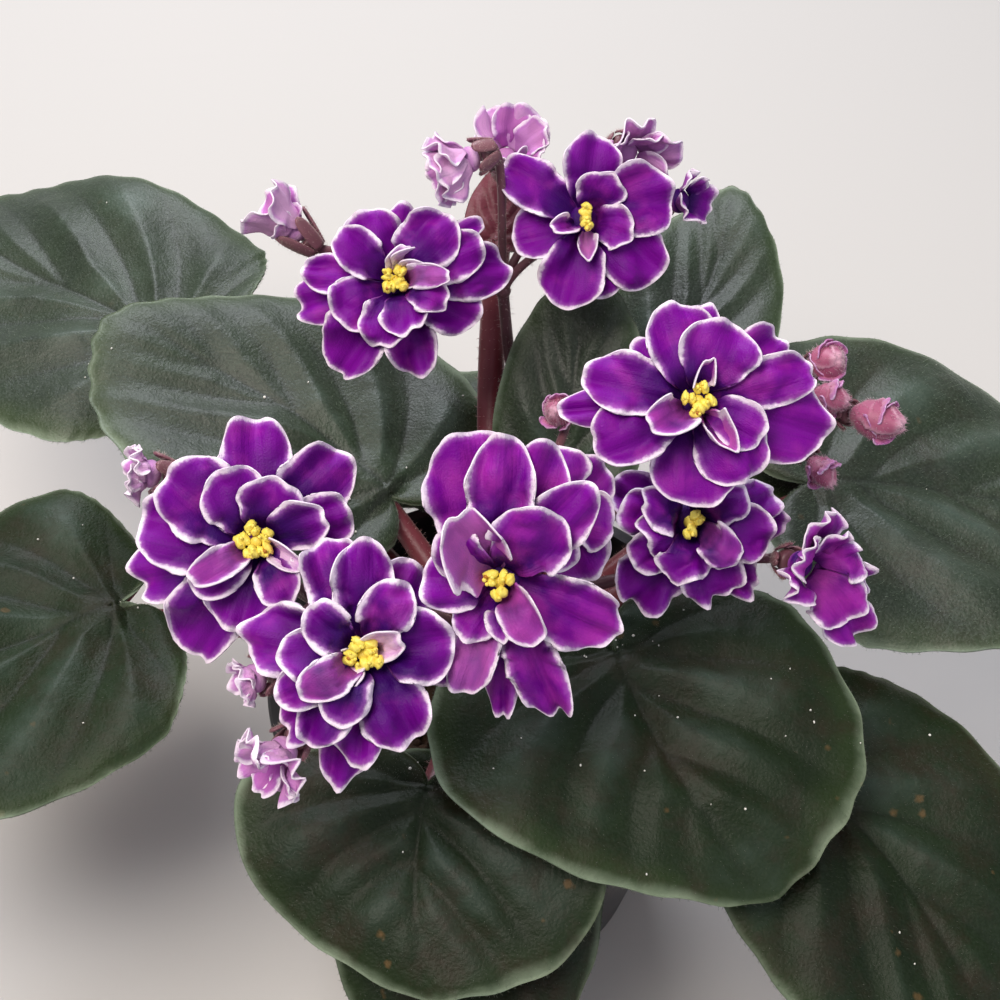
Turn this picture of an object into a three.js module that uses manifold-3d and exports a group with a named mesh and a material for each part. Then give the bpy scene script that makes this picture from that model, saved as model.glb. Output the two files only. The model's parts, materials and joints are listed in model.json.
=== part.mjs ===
// A potted african violet: a rosette of heart-shaped velvet leaves on red stalks, with ruffled
// double blooms above it, growing in a plain nursery pot.
// Millimetres, +Z up. The origin is the centre of the pot's flat bottom, and the front is -Y.

import * as THREE from 'three';
import { mergeVertices } from 'three/addons/utils/BufferGeometryUtils.js';
import Module from 'manifold-3d';

const library = await Module();
library.setup();

// ---------------------------------------------------------------- driving dimensions

const GAP = 0.3; // clearance between neighbouring pieces
const FUSED_TOLERANCE = 0.24; // how far facets may move where fused pieces are made simpler

const POT_HEIGHT = 78;
const POT_RIM_RADIUS = 48;
const POT_BASE_RADIUS = 34;
const POT_WALL = 1.8;
const POT_FLOOR = 2.4;
const POT_BAND_HEIGHT = 12;
const POT_BAND_STEP = 1.6;
const POT_SIDES = 30;
const DRAIN_HOLES = 4;
const DRAIN_RADIUS = 4;
const DRAIN_CIRCLE_RADIUS = 21;

const MIX_EDGE_HEIGHT = 70;
const MIX_MOUND = 4;
const MIX_LUMP = 1.1;
const MIX_SECTORS = 18;
const MIX_RINGS = 4;

const NECK_RADIUS = 7;
const NECK_BOTTOM = 58;
const NECK_TOP = 84;
const CROWN_RADIUS = 11;
const CROWN_HALF_HEIGHT = 8;
const PETIOLE_SIDES = 5;
const PETIOLE_STEPS = 4;
const PETIOLE_ROOT_RADIUS = 2.9;
const PETIOLE_TIP_RADIUS = 1.9;
const PETIOLE_ROOT_OUT = 3; // from the plant's axis out to a leaf stalk's root
const PETIOLE_ARCH = 4; // how far a leaf stalk rises before it runs out to its leaf
const PETIOLE_REACH_UNDER = 5; // how far it runs under the blade, past the hub

const LEAF_THICKNESS = 1.2;
const LEAF_RINGS = [0.36, 0.7, 1];
const LEAF_WAVES = 5;
const LEAF_FOLD_HALF_WIDTH = 3; // the soft bottom of the fold along the midrib
const LEAF_RIM_FALL = 0.07; // shares of a leaf's length
const VEIN_SPACING = 0.25;
const VEIN_SWELLING = 0.014;
const LARGE_LEAF = 45;
const LARGE_LEAF_SECTORS = 20;
const SMALL_LEAF_SECTORS = 16;

const PETAL_THICKNESS = 0.7;
const PETAL_STEPS = 3;
const PETAL_LANES = 2;
const SMALL_PETAL_REACH = 12;
const SMALL_PETAL_STEPS = 2;
const PETAL_LEAST_CURL = 26; // degrees that a petal bends from root to tip
const PETAL_CURL_RANGE = 18;
const PETAL_TIP_ROUNDING = 0.26; // how far the corners stay behind the tip
const PETAL_ROOT_WIDTH = 0.25; // shares of a petal's width
const PETAL_CUP = 0.1;
const PETAL_WIDEST_AT = 0.6; // a share of a petal's length
const PETAL_TIP_NARROWING = 0.2;
const OUTER_OPENING = 80; // petals that open wider than this lie in the outer layer
const INNER_LAYER_LIFT = 0.6;
const PETAL_TWIST = 0.3; // each petal lies over one neighbour and under the other
const PETAL_ROOT_OUT = 2.4; // from the bloom's axis out to a petal's root
const CORE_RADIUS = 3.6;
const CORE_HALF_DEPTH = 1.9;
const CORE_BACK = 3; // from the bloom's centre back to the middle of its core
const SAC_RADIUS = 1.5;
const SAC_HALF_DEPTH = 1.3;
const SAC_RISE = 2.6; // from the filament's foot up to the middle of a sac
const FILAMENT_LENGTH = 2.4;
const FILAMENT_RADIUS = 1.2;

const STALK_SIDES = 5;
const STALK_STEPS = 5;
const BRANCH_SIDES = 4;
const BRANCH_STEPS = 3;
const SOCKET_DEPTH = 3;
const STALK_RADIUS = 1.5;
const STALK_TAPER = 0.3;
const STALK_STRAIGHT_FOOT = 6;
const BRANCH_RADIUS = 0.95;
const BRANCH_ROOT_SUNK = 1.5;
const CALYX_SIDES = 10;
const CALYX_RADIUS = 3.1;
const CALYX_LENGTH = 3.6;
const CALYX_NOTCH = 0.66; // shares of its radius, between the sepals and at the foot
const CALYX_FOOT = 0.3;
const BRANCH_INTO_CALYX = 0.4; // a share of the calyx's length

const BUD_SIDES = 9;
const BUD_PROFILE = [0.34, 0.86, 1, 0.72, 0.3]; // shares of the widest radius, from foot to tip
const BUD_GROOVE = 0.78;
const BUD_TURN = 0.35; // sides that each step of the profile is turned by
const BUD_CALYX = 0.36; // a share of the bud's width

// ---------------------------------------------------------------- the leaves
// hub: where stalk and blade meet. heading: compass direction of the tip, from +X towards +Y.
// pitch: rise of the tip. roll: turn about the midrib, left side up. length: hub to tip.
// breadth: width against the standard outline. lobes: how far the lobes reach behind the hub.
// bend: sideways curve of the midrib. droop: fall of the tip. fold: lift of the halves.
// wave, phase: height and start of the edge's waves. root: height of the stalk in the crown.
// girth: how thick the stalk is against the standard one.

const LEAVES = [
  { name: 'leaf_left_back', hub: [-78, 82, 97], heading: 147, pitch: 2, roll: -4,
    length: 88, breadth: 0.6, lobes: 0.35, bend: -0.03, droop: 0.1, fold: 0.04, wave: 1.6,
    phase: 0.4, root: 79 },
  { name: 'leaf_left', hub: [-22.8, 28.7, 104], heading: 141, pitch: 20, roll: 2,
    length: 66, breadth: 0.7, lobes: 0.4, bend: 0.16, droop: 0.06, fold: 0.05, wave: 1.4,
    phase: 2.1, root: 86 },
  { name: 'leaf_left_front', hub: [-78, 4.6, 95], heading: 206, pitch: 4, roll: 0,
    length: 68, breadth: 0.71, lobes: 0.42, bend: 0.12, droop: 0.12, fold: 0.05, wave: 1.5,
    phase: 4.2, root: 80 },
  { name: 'leaf_front', hub: [-12.8, -37.6, 94.7], heading: -101, pitch: -12.5, roll: 0,
    length: 34.4, breadth: 1.35, lobes: 0.55, bend: 0.18, droop: 0.12, fold: 0.03, wave: 1.4,
    phase: 1.3, root: 83 },
  { name: 'leaf_front_right', hub: [23.3, -14.8, 105.2], heading: -73, pitch: -2.4, roll: 0,
    length: 47.6, breadth: 1.11, lobes: 0.73, bend: 0.2, droop: 0.1, fold: 0.04, wave: 1.6,
    phase: 5.1, root: 87 },
  { name: 'leaf_right', hub: [69.5, 32.6, 101.1], heading: 8, pitch: -3.3, roll: 4,
    length: 73.2, breadth: 0.76, lobes: 0.52, bend: -0.23, droop: 0.1, fold: 0.05, wave: 1.6,
    phase: 0.9, root: 82 },
  { name: 'leaf_right_lower', hub: [60.8, -30.1, 87.2], heading: -44, pitch: -8.2, roll: 0,
    length: 67.3, breadth: 0.66, lobes: 0.67, bend: -0.28, droop: 0.1, fold: 0.04, wave: 1.6,
    phase: 3.0, root: 79 },
  { name: 'leaf_back_right', hub: [35.4, 54.7, 107.9], heading: 57, pitch: 21.4, roll: 0,
    length: 52.1, breadth: 0.49, lobes: 0.55, bend: 0.18, droop: 0.08, fold: 0.05, wave: 1.2,
    phase: 2.6, root: 86 },
  { name: 'leaf_right_behind', hub: [56, 50, 93], heading: 42, pitch: 2, roll: 0,
    length: 46, breadth: 0.7, lobes: 0.5, bend: 0, droop: 0.1, fold: 0.04, wave: 1.3,
    phase: 1.0, root: 80 },
  { name: 'leaf_under_front', hub: [-6, -33, 84], heading: -89, pitch: -13, roll: 0,
    length: 52, breadth: 0.68, lobes: 0.5, bend: 0, droop: 0.1, fold: 0.03, wave: 1.4,
    phase: 0.2, root: 78 },
  { name: 'leaf_back', hub: [-7, 46, 85.5], heading: 92, pitch: -1, roll: 0,
    length: 42, breadth: 0.75, lobes: 0.5, bend: 0, droop: 0.12, fold: 0.05, wave: 1.3,
    phase: 3.7, root: 79 },
  { name: 'leaf_young_back', hub: [14, 31, 104], heading: 80, pitch: 47, roll: 0,
    length: 42, breadth: 0.5, lobes: 0.5, bend: 0, droop: 0.02, fold: 0.08, wave: 0.8,
    phase: 1.9, root: 89 },
  { name: 'leaf_young_left', hub: [-13, 40, 92], heading: 99, pitch: 3, roll: 0,
    length: 30, breadth: 0.74, lobes: 0.5, bend: 0, droop: 0.02, fold: 0.06, wave: 0.7,
    phase: 0.6, root: 85 },
  { name: 'leaf_young_red', hub: [0, 70, 136], heading: 76, pitch: 34, roll: 0,
    length: 16, breadth: 0.6, lobes: 0.5, bend: 0, droop: 0, fold: 0.16, wave: 0.5,
    phase: 0.6, root: 83, girth: 1.25 },
];

// ---------------------------------------------------------------- the blooms
// at: the middle of the pollen sacs. faces: turn from the front towards +X, and rise.
// petals: [direction round the bloom, reach of the tip from the middle, width, opening angle].
// pale: half-open and spent blooms, whose petals are lighter.

const BLOOMS = [
  { name: 'bloom_top', at: [17.9, 56.8, 152], faces: [4, 48], ruffle: 0.9, seed: 11,
    sacs: 2, petals: [
      [144, 20, 11, 84], [80, 17, 12, 80], [15, 18, 15, 78], [-41, 19, 13, 84],
      [-76, 16, 10, 88], [-107, 18, 13, 84], [192, 15, 11, 88],
      [59, 9.5, 10, 52], [-23, 9.5, 9, 50]] },
  { name: 'bloom_top_left', at: [-18.9, 40.9, 150], faces: [-4, 52], ruffle: 1.2, seed: 23,
    sacs: 4, petals: [
      [193, 20.5, 12, 94], [237, 21, 13, 94], [-73, 18.5, 10, 94], [-20, 17, 12, 94],
      [10, 22, 11, 92], [80, 15, 12, 92],
      [121, 15, 12, 72], [178, 18, 9, 76], [219, 13.5, 12, 70], [262, 13.7, 10, 70],
      [24, 18.5, 10, 74], [50, 16, 12, 66]] },
  { name: 'bloom_left', at: [-39.7, -19.4, 146], faces: [-2, 48], ruffle: 1.1, seed: 37,
    sacs: 5, petals: [
      [94, 21.5, 12, 94], [46, 21, 12, 92], [18, 17, 10, 88], [194, 23, 14, 96],
      [-124, 24, 13, 96],
      [142, 19, 14, 74], [170, 20, 15, 76], [117, 13.5, 11, 64], [70, 11.5, 11, 62],
      [-104, 15.5, 12, 70]] },
  { name: 'bloom_front_left', at: [-21, -39.5, 142], faces: [2, 50], ruffle: 1.2, seed: 41,
    sacs: 5, petals: [
      [108, 20, 11, 92], [57, 17, 11, 90], [-5, 18, 10, 94], [-104, 23, 9, 98],
      [168, 20, 12, 92], [-136, 19, 10, 92],
      [88, 19, 10, 74], [60, 13.6, 9, 70], [8, 15, 13, 72], [-62, 16.7, 12, 76],
      [-95, 18.3, 9, 80], [-124, 17, 9, 76]] },
  { name: 'bloom_centre', at: [1, -30.8, 150], faces: [-8, 44], ruffle: 1.2, seed: 53,
    sacs: 3, petals: [
      [108, 25, 17, 84], [76, 24, 12, 80], [-18, 21, 12, 92], [-86, 23.5, 7, 100],
      [-63, 25.5, 9, 98], [148, 12.4, 9, 60], [-118, 11, 8, 76], [-70, 9, 7, 56]] },
  { name: 'bloom_centre_behind', at: [11.5, -8.3, 140], faces: [14, 50], ruffle: 0.9, seed: 59,
    sacs: 1, petals: [
      [87, 11.7, 12, 66], [-25, 9.5, 11, 66], [-124, 10.6, 12, 72], [176, 9.5, 8, 66]] },
  { name: 'bloom_right', at: [34.6, 1.6, 158], faces: [6, 52], ruffle: 1, seed: 61,
    sacs: 4, petals: [
      [100, 17.4, 13, 80], [63, 14.5, 14, 72], [32, 19.6, 10, 88], [10, 21.5, 9, 80],
      [-18, 24, 14, 88], [-60, 16.4, 13, 84], [-96, 18, 15, 88], [199, 19.6, 12, 86],
      [162, 20.3, 11, 84], [178, 23, 8, 96]] },
  { name: 'bloom_right_lower', at: [35.3, -5.7, 134], faces: [4, 40], ruffle: 1.6, seed: 67,
    sacs: 2, petals: [
      [183, 9.6, 11, 58], [-108, 10, 11, 56], [-9, 14.8, 11, 70], [-72, 15.5, 12, 84],
      [-52, 17.8, 9, 88], [-128, 19, 12, 88], [164, 14, 9, 78], [16, 16, 9, 84]] },
  { name: 'bloom_far_right', at: [56.5, -13.6, 131], faces: [40, 30], ruffle: 1.4, seed: 71,
    sacs: 0, petals: [
      [66, 11, 12, 58], [-80, 12, 11, 62], [-6, 9, 8, 52], [186, 8, 8, 50]] },
  { name: 'bloom_nodding_back', at: [-7.5, 58.3, 164], faces: [-72, -12], ruffle: 1, seed: 73,
    sacs: 0, pale: true, petals: [
      [90, 7, 10, 38], [10, 7, 10, 36], [-70, 7, 10, 38], [180, 7, 9, 38]] },
  { name: 'bloom_upper_back', at: [2.5, 75, 155], faces: [24, 76], ruffle: 1.2, seed: 79,
    sacs: 0, pale: true, petals: [
      [100, 9, 10, 48], [20, 9, 10, 46], [-60, 8, 10, 42], [200, 8, 10, 44]] },
  { name: 'bloom_back_right', at: [27.5, 73.6, 154], faces: [16, 12], ruffle: 1.1, seed: 83,
    sacs: 0, pale: true, petals: [
      [90, 9, 11, 50], [12, 10, 10, 50], [-80, 7, 9, 44], [176, 9, 10, 46]] },
  { name: 'bloom_back_small', at: [40, 66.5, 149], faces: [70, 22], ruffle: 0.9, seed: 89,
    sacs: 0, petals: [[60, 6, 8, 50], [-50, 7, 8, 50], [176, 6, 8, 46]] },
  { name: 'bloom_closed_left', at: [-41, 55, 153], faces: [-110, 40], ruffle: 0.7, seed: 97,
    sacs: 0, pale: true, petals: [[80, 6.4, 9, 24], [-30, 6.6, 10, 26], [200, 6.2, 9, 26]] },
  { name: 'bloom_small_left', at: [-63, -4, 146], faces: [-80, 20], ruffle: 1, seed: 101,
    sacs: 0, pale: true, petals: [[80, 5, 6, 44], [-20, 5, 6, 44], [190, 5, 6, 46]] },
  { name: 'bloom_small_front', at: [-42.3, -40.2, 134], faces: [-60, 6], ruffle: 0.8, seed: 103,
    sacs: 0, pale: true, petals: [[80, 3.6, 6, 36], [-40, 4, 6, 38], [200, 4, 6, 36]] },
  { name: 'bloom_spent_front', at: [-36.3, -51.2, 128], faces: [-35, 5], ruffle: 1.3, seed: 107,
    sacs: 0, pale: true, petals: [
      [110, 7, 8, 54], [30, 8, 9, 56], [-60, 8, 9, 60], [-140, 8, 8, 56]] },
];

// ---------------------------------------------------------------- the closed buds

const BUDS = [
  { name: 'bud_right_upper', at: [63.7, 29.1, 140], faces: [30, 50], length: 8, width: 7.5 },
  { name: 'bud_right_middle', at: [63, 19.6, 140], faces: [60, 10], length: 7, width: 6.2 },
  { name: 'bud_right_outer', at: [71.5, 15.9, 138], faces: [50, 20], length: 11, width: 8.2 },
  { name: 'bud_right_low', at: [61, 8.2, 132], faces: [30, -10], length: 7, width: 5.6 },
  { name: 'bud_middle', at: [11.9, 17.9, 138], faces: [-30, 40], length: 6.4, width: 5.6 },
];

// ---------------------------------------------------------------- the flower stalks
// root: where the stalk leaves the crown. route: what it passes on its way to the fork, where it
// branches. carries: what it ends in.

const SPRAYS = [
  { name: 'stalk_back', root: [4, 5], route: [[5.5, 20, 95], [6, 46, 102], [3, 56, 116]],
    fork: [1.6, 58, 132],
    carries: ['bloom_top', 'bloom_nodding_back', 'bloom_upper_back', 'bloom_back_right',
      'bloom_back_small', 'bloom_top_left', 'bloom_closed_left'] },
  { name: 'stalk_left', root: [-6.5, -1], route: [[-15, -5, 106]], fork: [-32, -16, 124],
    carries: ['bloom_left', 'bloom_front_left', 'bloom_small_left', 'bloom_small_front',
      'bloom_spent_front'] },
  { name: 'stalk_centre', root: [0, -6], route: [[-1, -9, 106]], fork: [2, -13, 124],
    carries: ['bloom_centre', 'bloom_centre_behind', 'bud_middle'] },
  { name: 'stalk_right', root: [6.5, 2], route: [[16, 8, 110]], fork: [36, 12, 130],
    carries: ['bloom_right', 'bud_right_upper', 'bud_right_middle', 'bud_right_outer',
      'bud_right_low'] },
  { name: 'stalk_right_lower', root: [5, -4.5], route: [[13, -3, 108]], fork: [33, -3, 117],
    carries: ['bloom_right_lower', 'bloom_far_right'] },
];

// ---------------------------------------------------------------- finishes

const finish = (color, roughness) =>
  new THREE.MeshStandardMaterial({ color, roughness, metalness: 0 });

const FINISH = {
  pot: finish('#232326', 0.5),
  mix: finish('#2b1f18', 1),
  stalk: finish('#5a1f2a', 0.6),
  stem: finish('#4a2a30', 0.7),
  leaf: finish('#3c4a34', 0.75),
  petal: finish('#7a0f9c', 0.55),
  pale: finish('#c07ac0', 0.6),
  sac: finish('#f0cf1c', 0.5),
  bud: finish('#b0567c', 0.6),
};

// ---------------------------------------------------------------- small helpers

const radians = THREE.MathUtils.degToRad;
const vec = (x, y, z) => new THREE.Vector3(x, y, z);
const UP = vec(0, 0, 1);

// A repeatable stream of numbers from 0 to 1.
function drawsFrom(seed) {
  let state = seed * 7919 + 13;
  return () => {
    state = (state * 16807) % 2147483647;
    return state / 2147483647;
  };
}

// A closed solid from points and triangles.
function solidOf(points, faces) {
  return new library.Manifold(new library.Mesh({
    numProp: 3,
    vertProperties: new Float32Array(points.flatMap((p) => [p.x, p.y, p.z])),
    triVerts: new Uint32Array(faces.flat()),
  }));
}

// A closed solid from one of three.js's own closed geometries.
function solidOfGeometry(geometry) {
  geometry.deleteAttribute('normal');
  geometry.deleteAttribute('uv');
  const merged = mergeVertices(geometry, 1e-4);
  return new library.Manifold(new library.Mesh({
    numProp: 3,
    vertProperties: merged.attributes.position.array,
    triVerts: new Uint32Array(merged.index.array),
  }));
}

const fuse = (solids) => solids.reduce((whole, next) => whole.add(next));

// The largest body of a solid, without the loose scraps that a cut can leave.
function largestBody(solid) {
  return solid.decompose().reduce((a, b) => (a.volume() > b.volume() ? a : b));
}

// One fused body with fewer facets, and without scraps and sealed hollows.
const lightened = (solid) => largestBody(largestBody(solid).simplify(FUSED_TOLERANCE));

// A thin sheet given thickness: both faces keep the same triangles.
function thicken(points, faces, thickness) {
  const normals = points.map(() => vec(0, 0, 0));
  const edges = new Map();
  for (const face of faces) {
    const [a, b, c] = face.map((k) => points[k]);
    const normal = b.clone().sub(a).cross(c.clone().sub(a));
    face.forEach((k, n) => {
      normals[k].add(normal);
      const next = face[(n + 1) % 3];
      if (!edges.delete(`${next} ${k}`)) edges.set(`${k} ${next}`, [k, next]);
    });
  }
  const half = thickness / 2;
  normals.forEach((n) => n.normalize().multiplyScalar(half));
  const top = points.map((p, k) => p.clone().add(normals[k]));
  const bottom = points.map((p, k) => p.clone().sub(normals[k]));
  const under = points.length;
  const sides = [...edges.values()].flatMap(([a, b]) => [
    [b, a, under + a],
    [b, under + a, under + b],
  ]);
  const lower = faces.map(([a, b, c]) => [under + a, under + c, under + b]);
  return solidOf([...top, ...bottom], [...faces, ...lower, ...sides]);
}

// A round bar along a curve, with its own radius at each step.
function taperedBar(curve, radiusAt, sides, steps) {
  const frames = curve.computeFrenetFrames(steps, false);
  const points = [];
  const faces = [];
  for (let i = 0; i <= steps; i += 1) {
    const centre = curve.getPointAt(i / steps);
    for (let j = 0; j < sides; j += 1) {
      const turn = (2 * Math.PI * j) / sides;
      points.push(centre.clone()
        .addScaledVector(frames.normals[i], radiusAt(i / steps) * Math.cos(turn))
        .addScaledVector(frames.binormals[i], radiusAt(i / steps) * Math.sin(turn)));
    }
  }
  for (let i = 0; i < steps; i += 1) {
    for (let j = 0; j < sides; j += 1) {
      const a = i * sides + j;
      const b = i * sides + ((j + 1) % sides);
      faces.push([a, b, b + sides], [a, b + sides, a + sides]);
    }
  }
  for (let j = 1; j < sides - 1; j += 1) {
    faces.push([0, j + 1, j]);
    faces.push([steps * sides, steps * sides + j, steps * sides + j + 1]);
  }
  return solidOf(points, faces);
}

// A turned solid from [radius, height] pairs, about +Z.
function turned(profile, sides) {
  const outline = profile.map(([radius, height]) => new THREE.Vector2(radius, height));
  return solidOfGeometry(new THREE.LatheGeometry(outline, sides).rotateX(Math.PI / 2));
}

// A squashed ball: a unit shape with radii along a frame's right, up and out directions.
function ball(centre, frame, radii, shape) {
  const basis = new THREE.Matrix4().makeBasis(
    frame.right.clone().multiplyScalar(radii[0]),
    frame.up.clone().multiplyScalar(radii[1]),
    frame.out.clone().multiplyScalar(radii[2]),
  ).setPosition(centre);
  return solidOfGeometry(shape.applyMatrix4(basis));
}

function meshOf(name, solid, material) {
  const { vertProperties, triVerts } = solid.getMesh();
  const geometry = new THREE.BufferGeometry();
  geometry.setAttribute('position', new THREE.BufferAttribute(vertProperties, 3));
  geometry.setIndex(new THREE.BufferAttribute(triVerts, 1));
  const mesh = new THREE.Mesh(geometry, material);
  mesh.name = name;
  return mesh;
}

// ---------------------------------------------------------------- pot and potting mix

function potInnerRadius(height) {
  const share = height / POT_HEIGHT;
  return POT_BASE_RADIUS + (POT_RIM_RADIUS - POT_BAND_STEP - POT_BASE_RADIUS) * share - POT_WALL;
}

function buildPot() {
  const bandFoot = POT_HEIGHT - POT_BAND_HEIGHT;
  const wallAtBand = potInnerRadius(bandFoot) + POT_WALL;
  const shell = turned([
    [0, 0],
    [POT_BASE_RADIUS - 1, 0],
    [POT_BASE_RADIUS, 1],
    [wallAtBand, bandFoot - 1],
    [POT_RIM_RADIUS - 1, bandFoot],
    [POT_RIM_RADIUS, POT_HEIGHT - 1],
    [POT_RIM_RADIUS - 0.6, POT_HEIGHT],
    [potInnerRadius(POT_HEIGHT), POT_HEIGHT],
    [potInnerRadius(POT_FLOOR), POT_FLOOR],
    [0, POT_FLOOR],
  ], POT_SIDES);
  const holes = Array.from({ length: DRAIN_HOLES }, (_, k) => {
    const turn = (2 * Math.PI * k) / DRAIN_HOLES;
    const drill = new THREE.CylinderGeometry(DRAIN_RADIUS, DRAIN_RADIUS, 4 * POT_FLOOR, 8)
      .rotateX(Math.PI / 2)
      .translate(DRAIN_CIRCLE_RADIUS * Math.cos(turn), DRAIN_CIRCLE_RADIUS * Math.sin(turn), 0);
    return solidOfGeometry(drill);
  });
  return holes.reduce((pot, hole) => pot.subtract(hole), shell);
}

// The filling's top is a low mound with seeded lumps.
function buildMix() {
  const draw = drawsFrom(5);
  const edgeRadius = potInnerRadius(MIX_EDGE_HEIGHT) - GAP;
  const bottomRadius = potInnerRadius(POT_FLOOR) - GAP;
  const bottom = POT_FLOOR + GAP;
  const points = [vec(0, 0, MIX_EDGE_HEIGHT + MIX_MOUND)];
  const faces = [];
  for (let ring = 1; ring <= MIX_RINGS; ring += 1) {
    const share = ring / MIX_RINGS;
    for (let k = 0; k < MIX_SECTORS; k += 1) {
      const turn = (2 * Math.PI * (k + 0.5 * (ring % 2))) / MIX_SECTORS;
      const lump = ring < MIX_RINGS ? MIX_LUMP * (draw() - 0.5) : 0;
      const height = MIX_EDGE_HEIGHT + MIX_MOUND * (1 - share * share) + lump;
      points.push(vec(edgeRadius * share * Math.cos(turn), edgeRadius * share * Math.sin(turn), height));
    }
  }
  const lastTurn = 0.5 * (MIX_RINGS % 2);
  for (let k = 0; k < MIX_SECTORS; k += 1) {
    const turn = (2 * Math.PI * (k + lastTurn)) / MIX_SECTORS;
    points.push(vec(bottomRadius * Math.cos(turn), bottomRadius * Math.sin(turn), bottom));
  }
  points.push(vec(0, 0, bottom));
  const at = (ring, k) => 1 + (ring - 1) * MIX_SECTORS + (k % MIX_SECTORS);
  const last = points.length - 1;
  for (let k = 0; k < MIX_SECTORS; k += 1) {
    faces.push([0, at(1, k), at(1, k + 1)]);
    for (let ring = 1; ring <= MIX_RINGS; ring += 1) {
      faces.push([at(ring, k), at(ring + 1, k), at(ring + 1, k + 1)]);
      faces.push([at(ring, k), at(ring + 1, k + 1), at(ring, k + 1)]);
    }
    faces.push([last, at(MIX_RINGS + 1, k + 1), at(MIX_RINGS + 1, k)]);
  }
  const neckHole = turned([
    [0, NECK_BOTTOM - GAP],
    [NECK_RADIUS + GAP, NECK_BOTTOM - GAP],
    [NECK_RADIUS + GAP, POT_HEIGHT + MIX_MOUND],
    [0, POT_HEIGHT + MIX_MOUND],
  ], 12);
  return solidOf(points, faces).subtract(neckHole);
}

// ---------------------------------------------------------------- leaves

// The leaf's own directions: along the midrib, to its left, and out of its upper face.
function leafFrame(leaf) {
  const heading = radians(leaf.heading);
  const pitch = radians(leaf.pitch);
  const along = vec(
    Math.cos(heading) * Math.cos(pitch),
    Math.sin(heading) * Math.cos(pitch),
    Math.sin(pitch),
  );
  const left = vec(-Math.sin(heading), Math.cos(heading), 0)
    .applyAxisAngle(along, radians(leaf.roll));
  return { along, left, out: along.clone().cross(left) };
}

// Distance from the hub to the edge: a heart, notched behind the hub and blunt at the tip.
function leafReach(leaf, turn) {
  const fromNotch = Math.PI - Math.abs(turn);
  const body = 1 - 0.3 * (1 - Math.cos(turn));
  const notch = 1 - 0.8 * Math.exp(-((fromNotch / 0.25) ** 2));
  const tip = 0.05 * Math.exp(-((turn / 0.22) ** 2));
  return leaf.length * (body * notch + tip);
}

// Height of the blade above its flat plane: midrib fold, swelling between side veins,
// a tip that droops and an edge that waves.
function leafRise(leaf, x, y, share, turn) {
  const size = leaf.length;
  const fold = leaf.fold * (Math.hypot(y, LEAF_FOLD_HALF_WIDTH) - LEAF_FOLD_HALF_WIDTH);
  const rimFall = -LEAF_RIM_FALL * leafReach(leaf, turn) * share ** 4;
  const droop = -leaf.droop * size * (Math.max(x, 0) / size) ** 2;
  const vein = x - 0.7 * Math.abs(y) - (0.3 * y * y) / size;
  const swell = -VEIN_SWELLING * size * Math.cos((2 * Math.PI * vein) / (VEIN_SPACING * size));
  const quilt = swell * (1 - Math.exp(-Math.abs(y) / (0.1 * size))) * (1 - share ** 4);
  const wave = leaf.wave * share ** 3 * Math.sin(LEAF_WAVES * turn + leaf.phase);
  return fold + rimFall + droop + quilt + wave;
}

// A point of the blade, from the share of the way to the edge and the turn about the hub.
function leafPoint(leaf, frame, share, turn, grow) {
  const reach = leafReach(leaf, turn) * share + (share === 1 ? grow : 0);
  const x = reach * Math.cos(turn) * (Math.cos(turn) < 0 ? leaf.lobes : 1);
  const y = reach * Math.sin(turn) * leaf.breadth;
  const aside = (leaf.bend * x * x) / leaf.length;
  return vec(...leaf.hub)
    .addScaledVector(frame.along, x)
    .addScaledVector(frame.left, y + aside)
    .addScaledVector(frame.out, leafRise(leaf, x, y, share, turn));
}

// The blade as a solid. grow makes it larger all round, for cutting clearance.
function buildLeaf(leaf, grow = 0) {
  const frame = leafFrame(leaf);
  const sectors = leaf.length > LARGE_LEAF ? LARGE_LEAF_SECTORS : SMALL_LEAF_SECTORS;
  const points = [leafPoint(leaf, frame, 0, 0, grow)];
  const faces = [];
  for (const share of LEAF_RINGS) {
    for (let k = 0; k < sectors; k += 1) {
      points.push(leafPoint(leaf, frame, share, -Math.PI + (2 * Math.PI * k) / sectors, grow));
    }
  }
  const at = (ring, k) => 1 + ring * sectors + (k % sectors);
  for (let k = 0; k < sectors; k += 1) {
    faces.push([0, at(0, k), at(0, k + 1)]);
    for (let ring = 0; ring < LEAF_RINGS.length - 1; ring += 1) {
      faces.push([at(ring, k), at(ring + 1, k), at(ring + 1, k + 1)]);
      faces.push([at(ring, k), at(ring + 1, k + 1), at(ring, k + 1)]);
    }
  }
  return thicken(points, faces, LEAF_THICKNESS + 2 * grow);
}

// ---------------------------------------------------------------- blooms

// The bloom's own directions: out of its face, up across it and to its right.
function faceFrame([turn, rise]) {
  const out = vec(
    Math.sin(radians(turn)) * Math.cos(radians(rise)),
    -Math.cos(radians(turn)) * Math.cos(radians(rise)),
    Math.sin(radians(rise)),
  );
  const up = UP.clone().addScaledVector(out, -out.z).normalize();
  return { out, up, right: up.clone().cross(out) };
}

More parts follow.
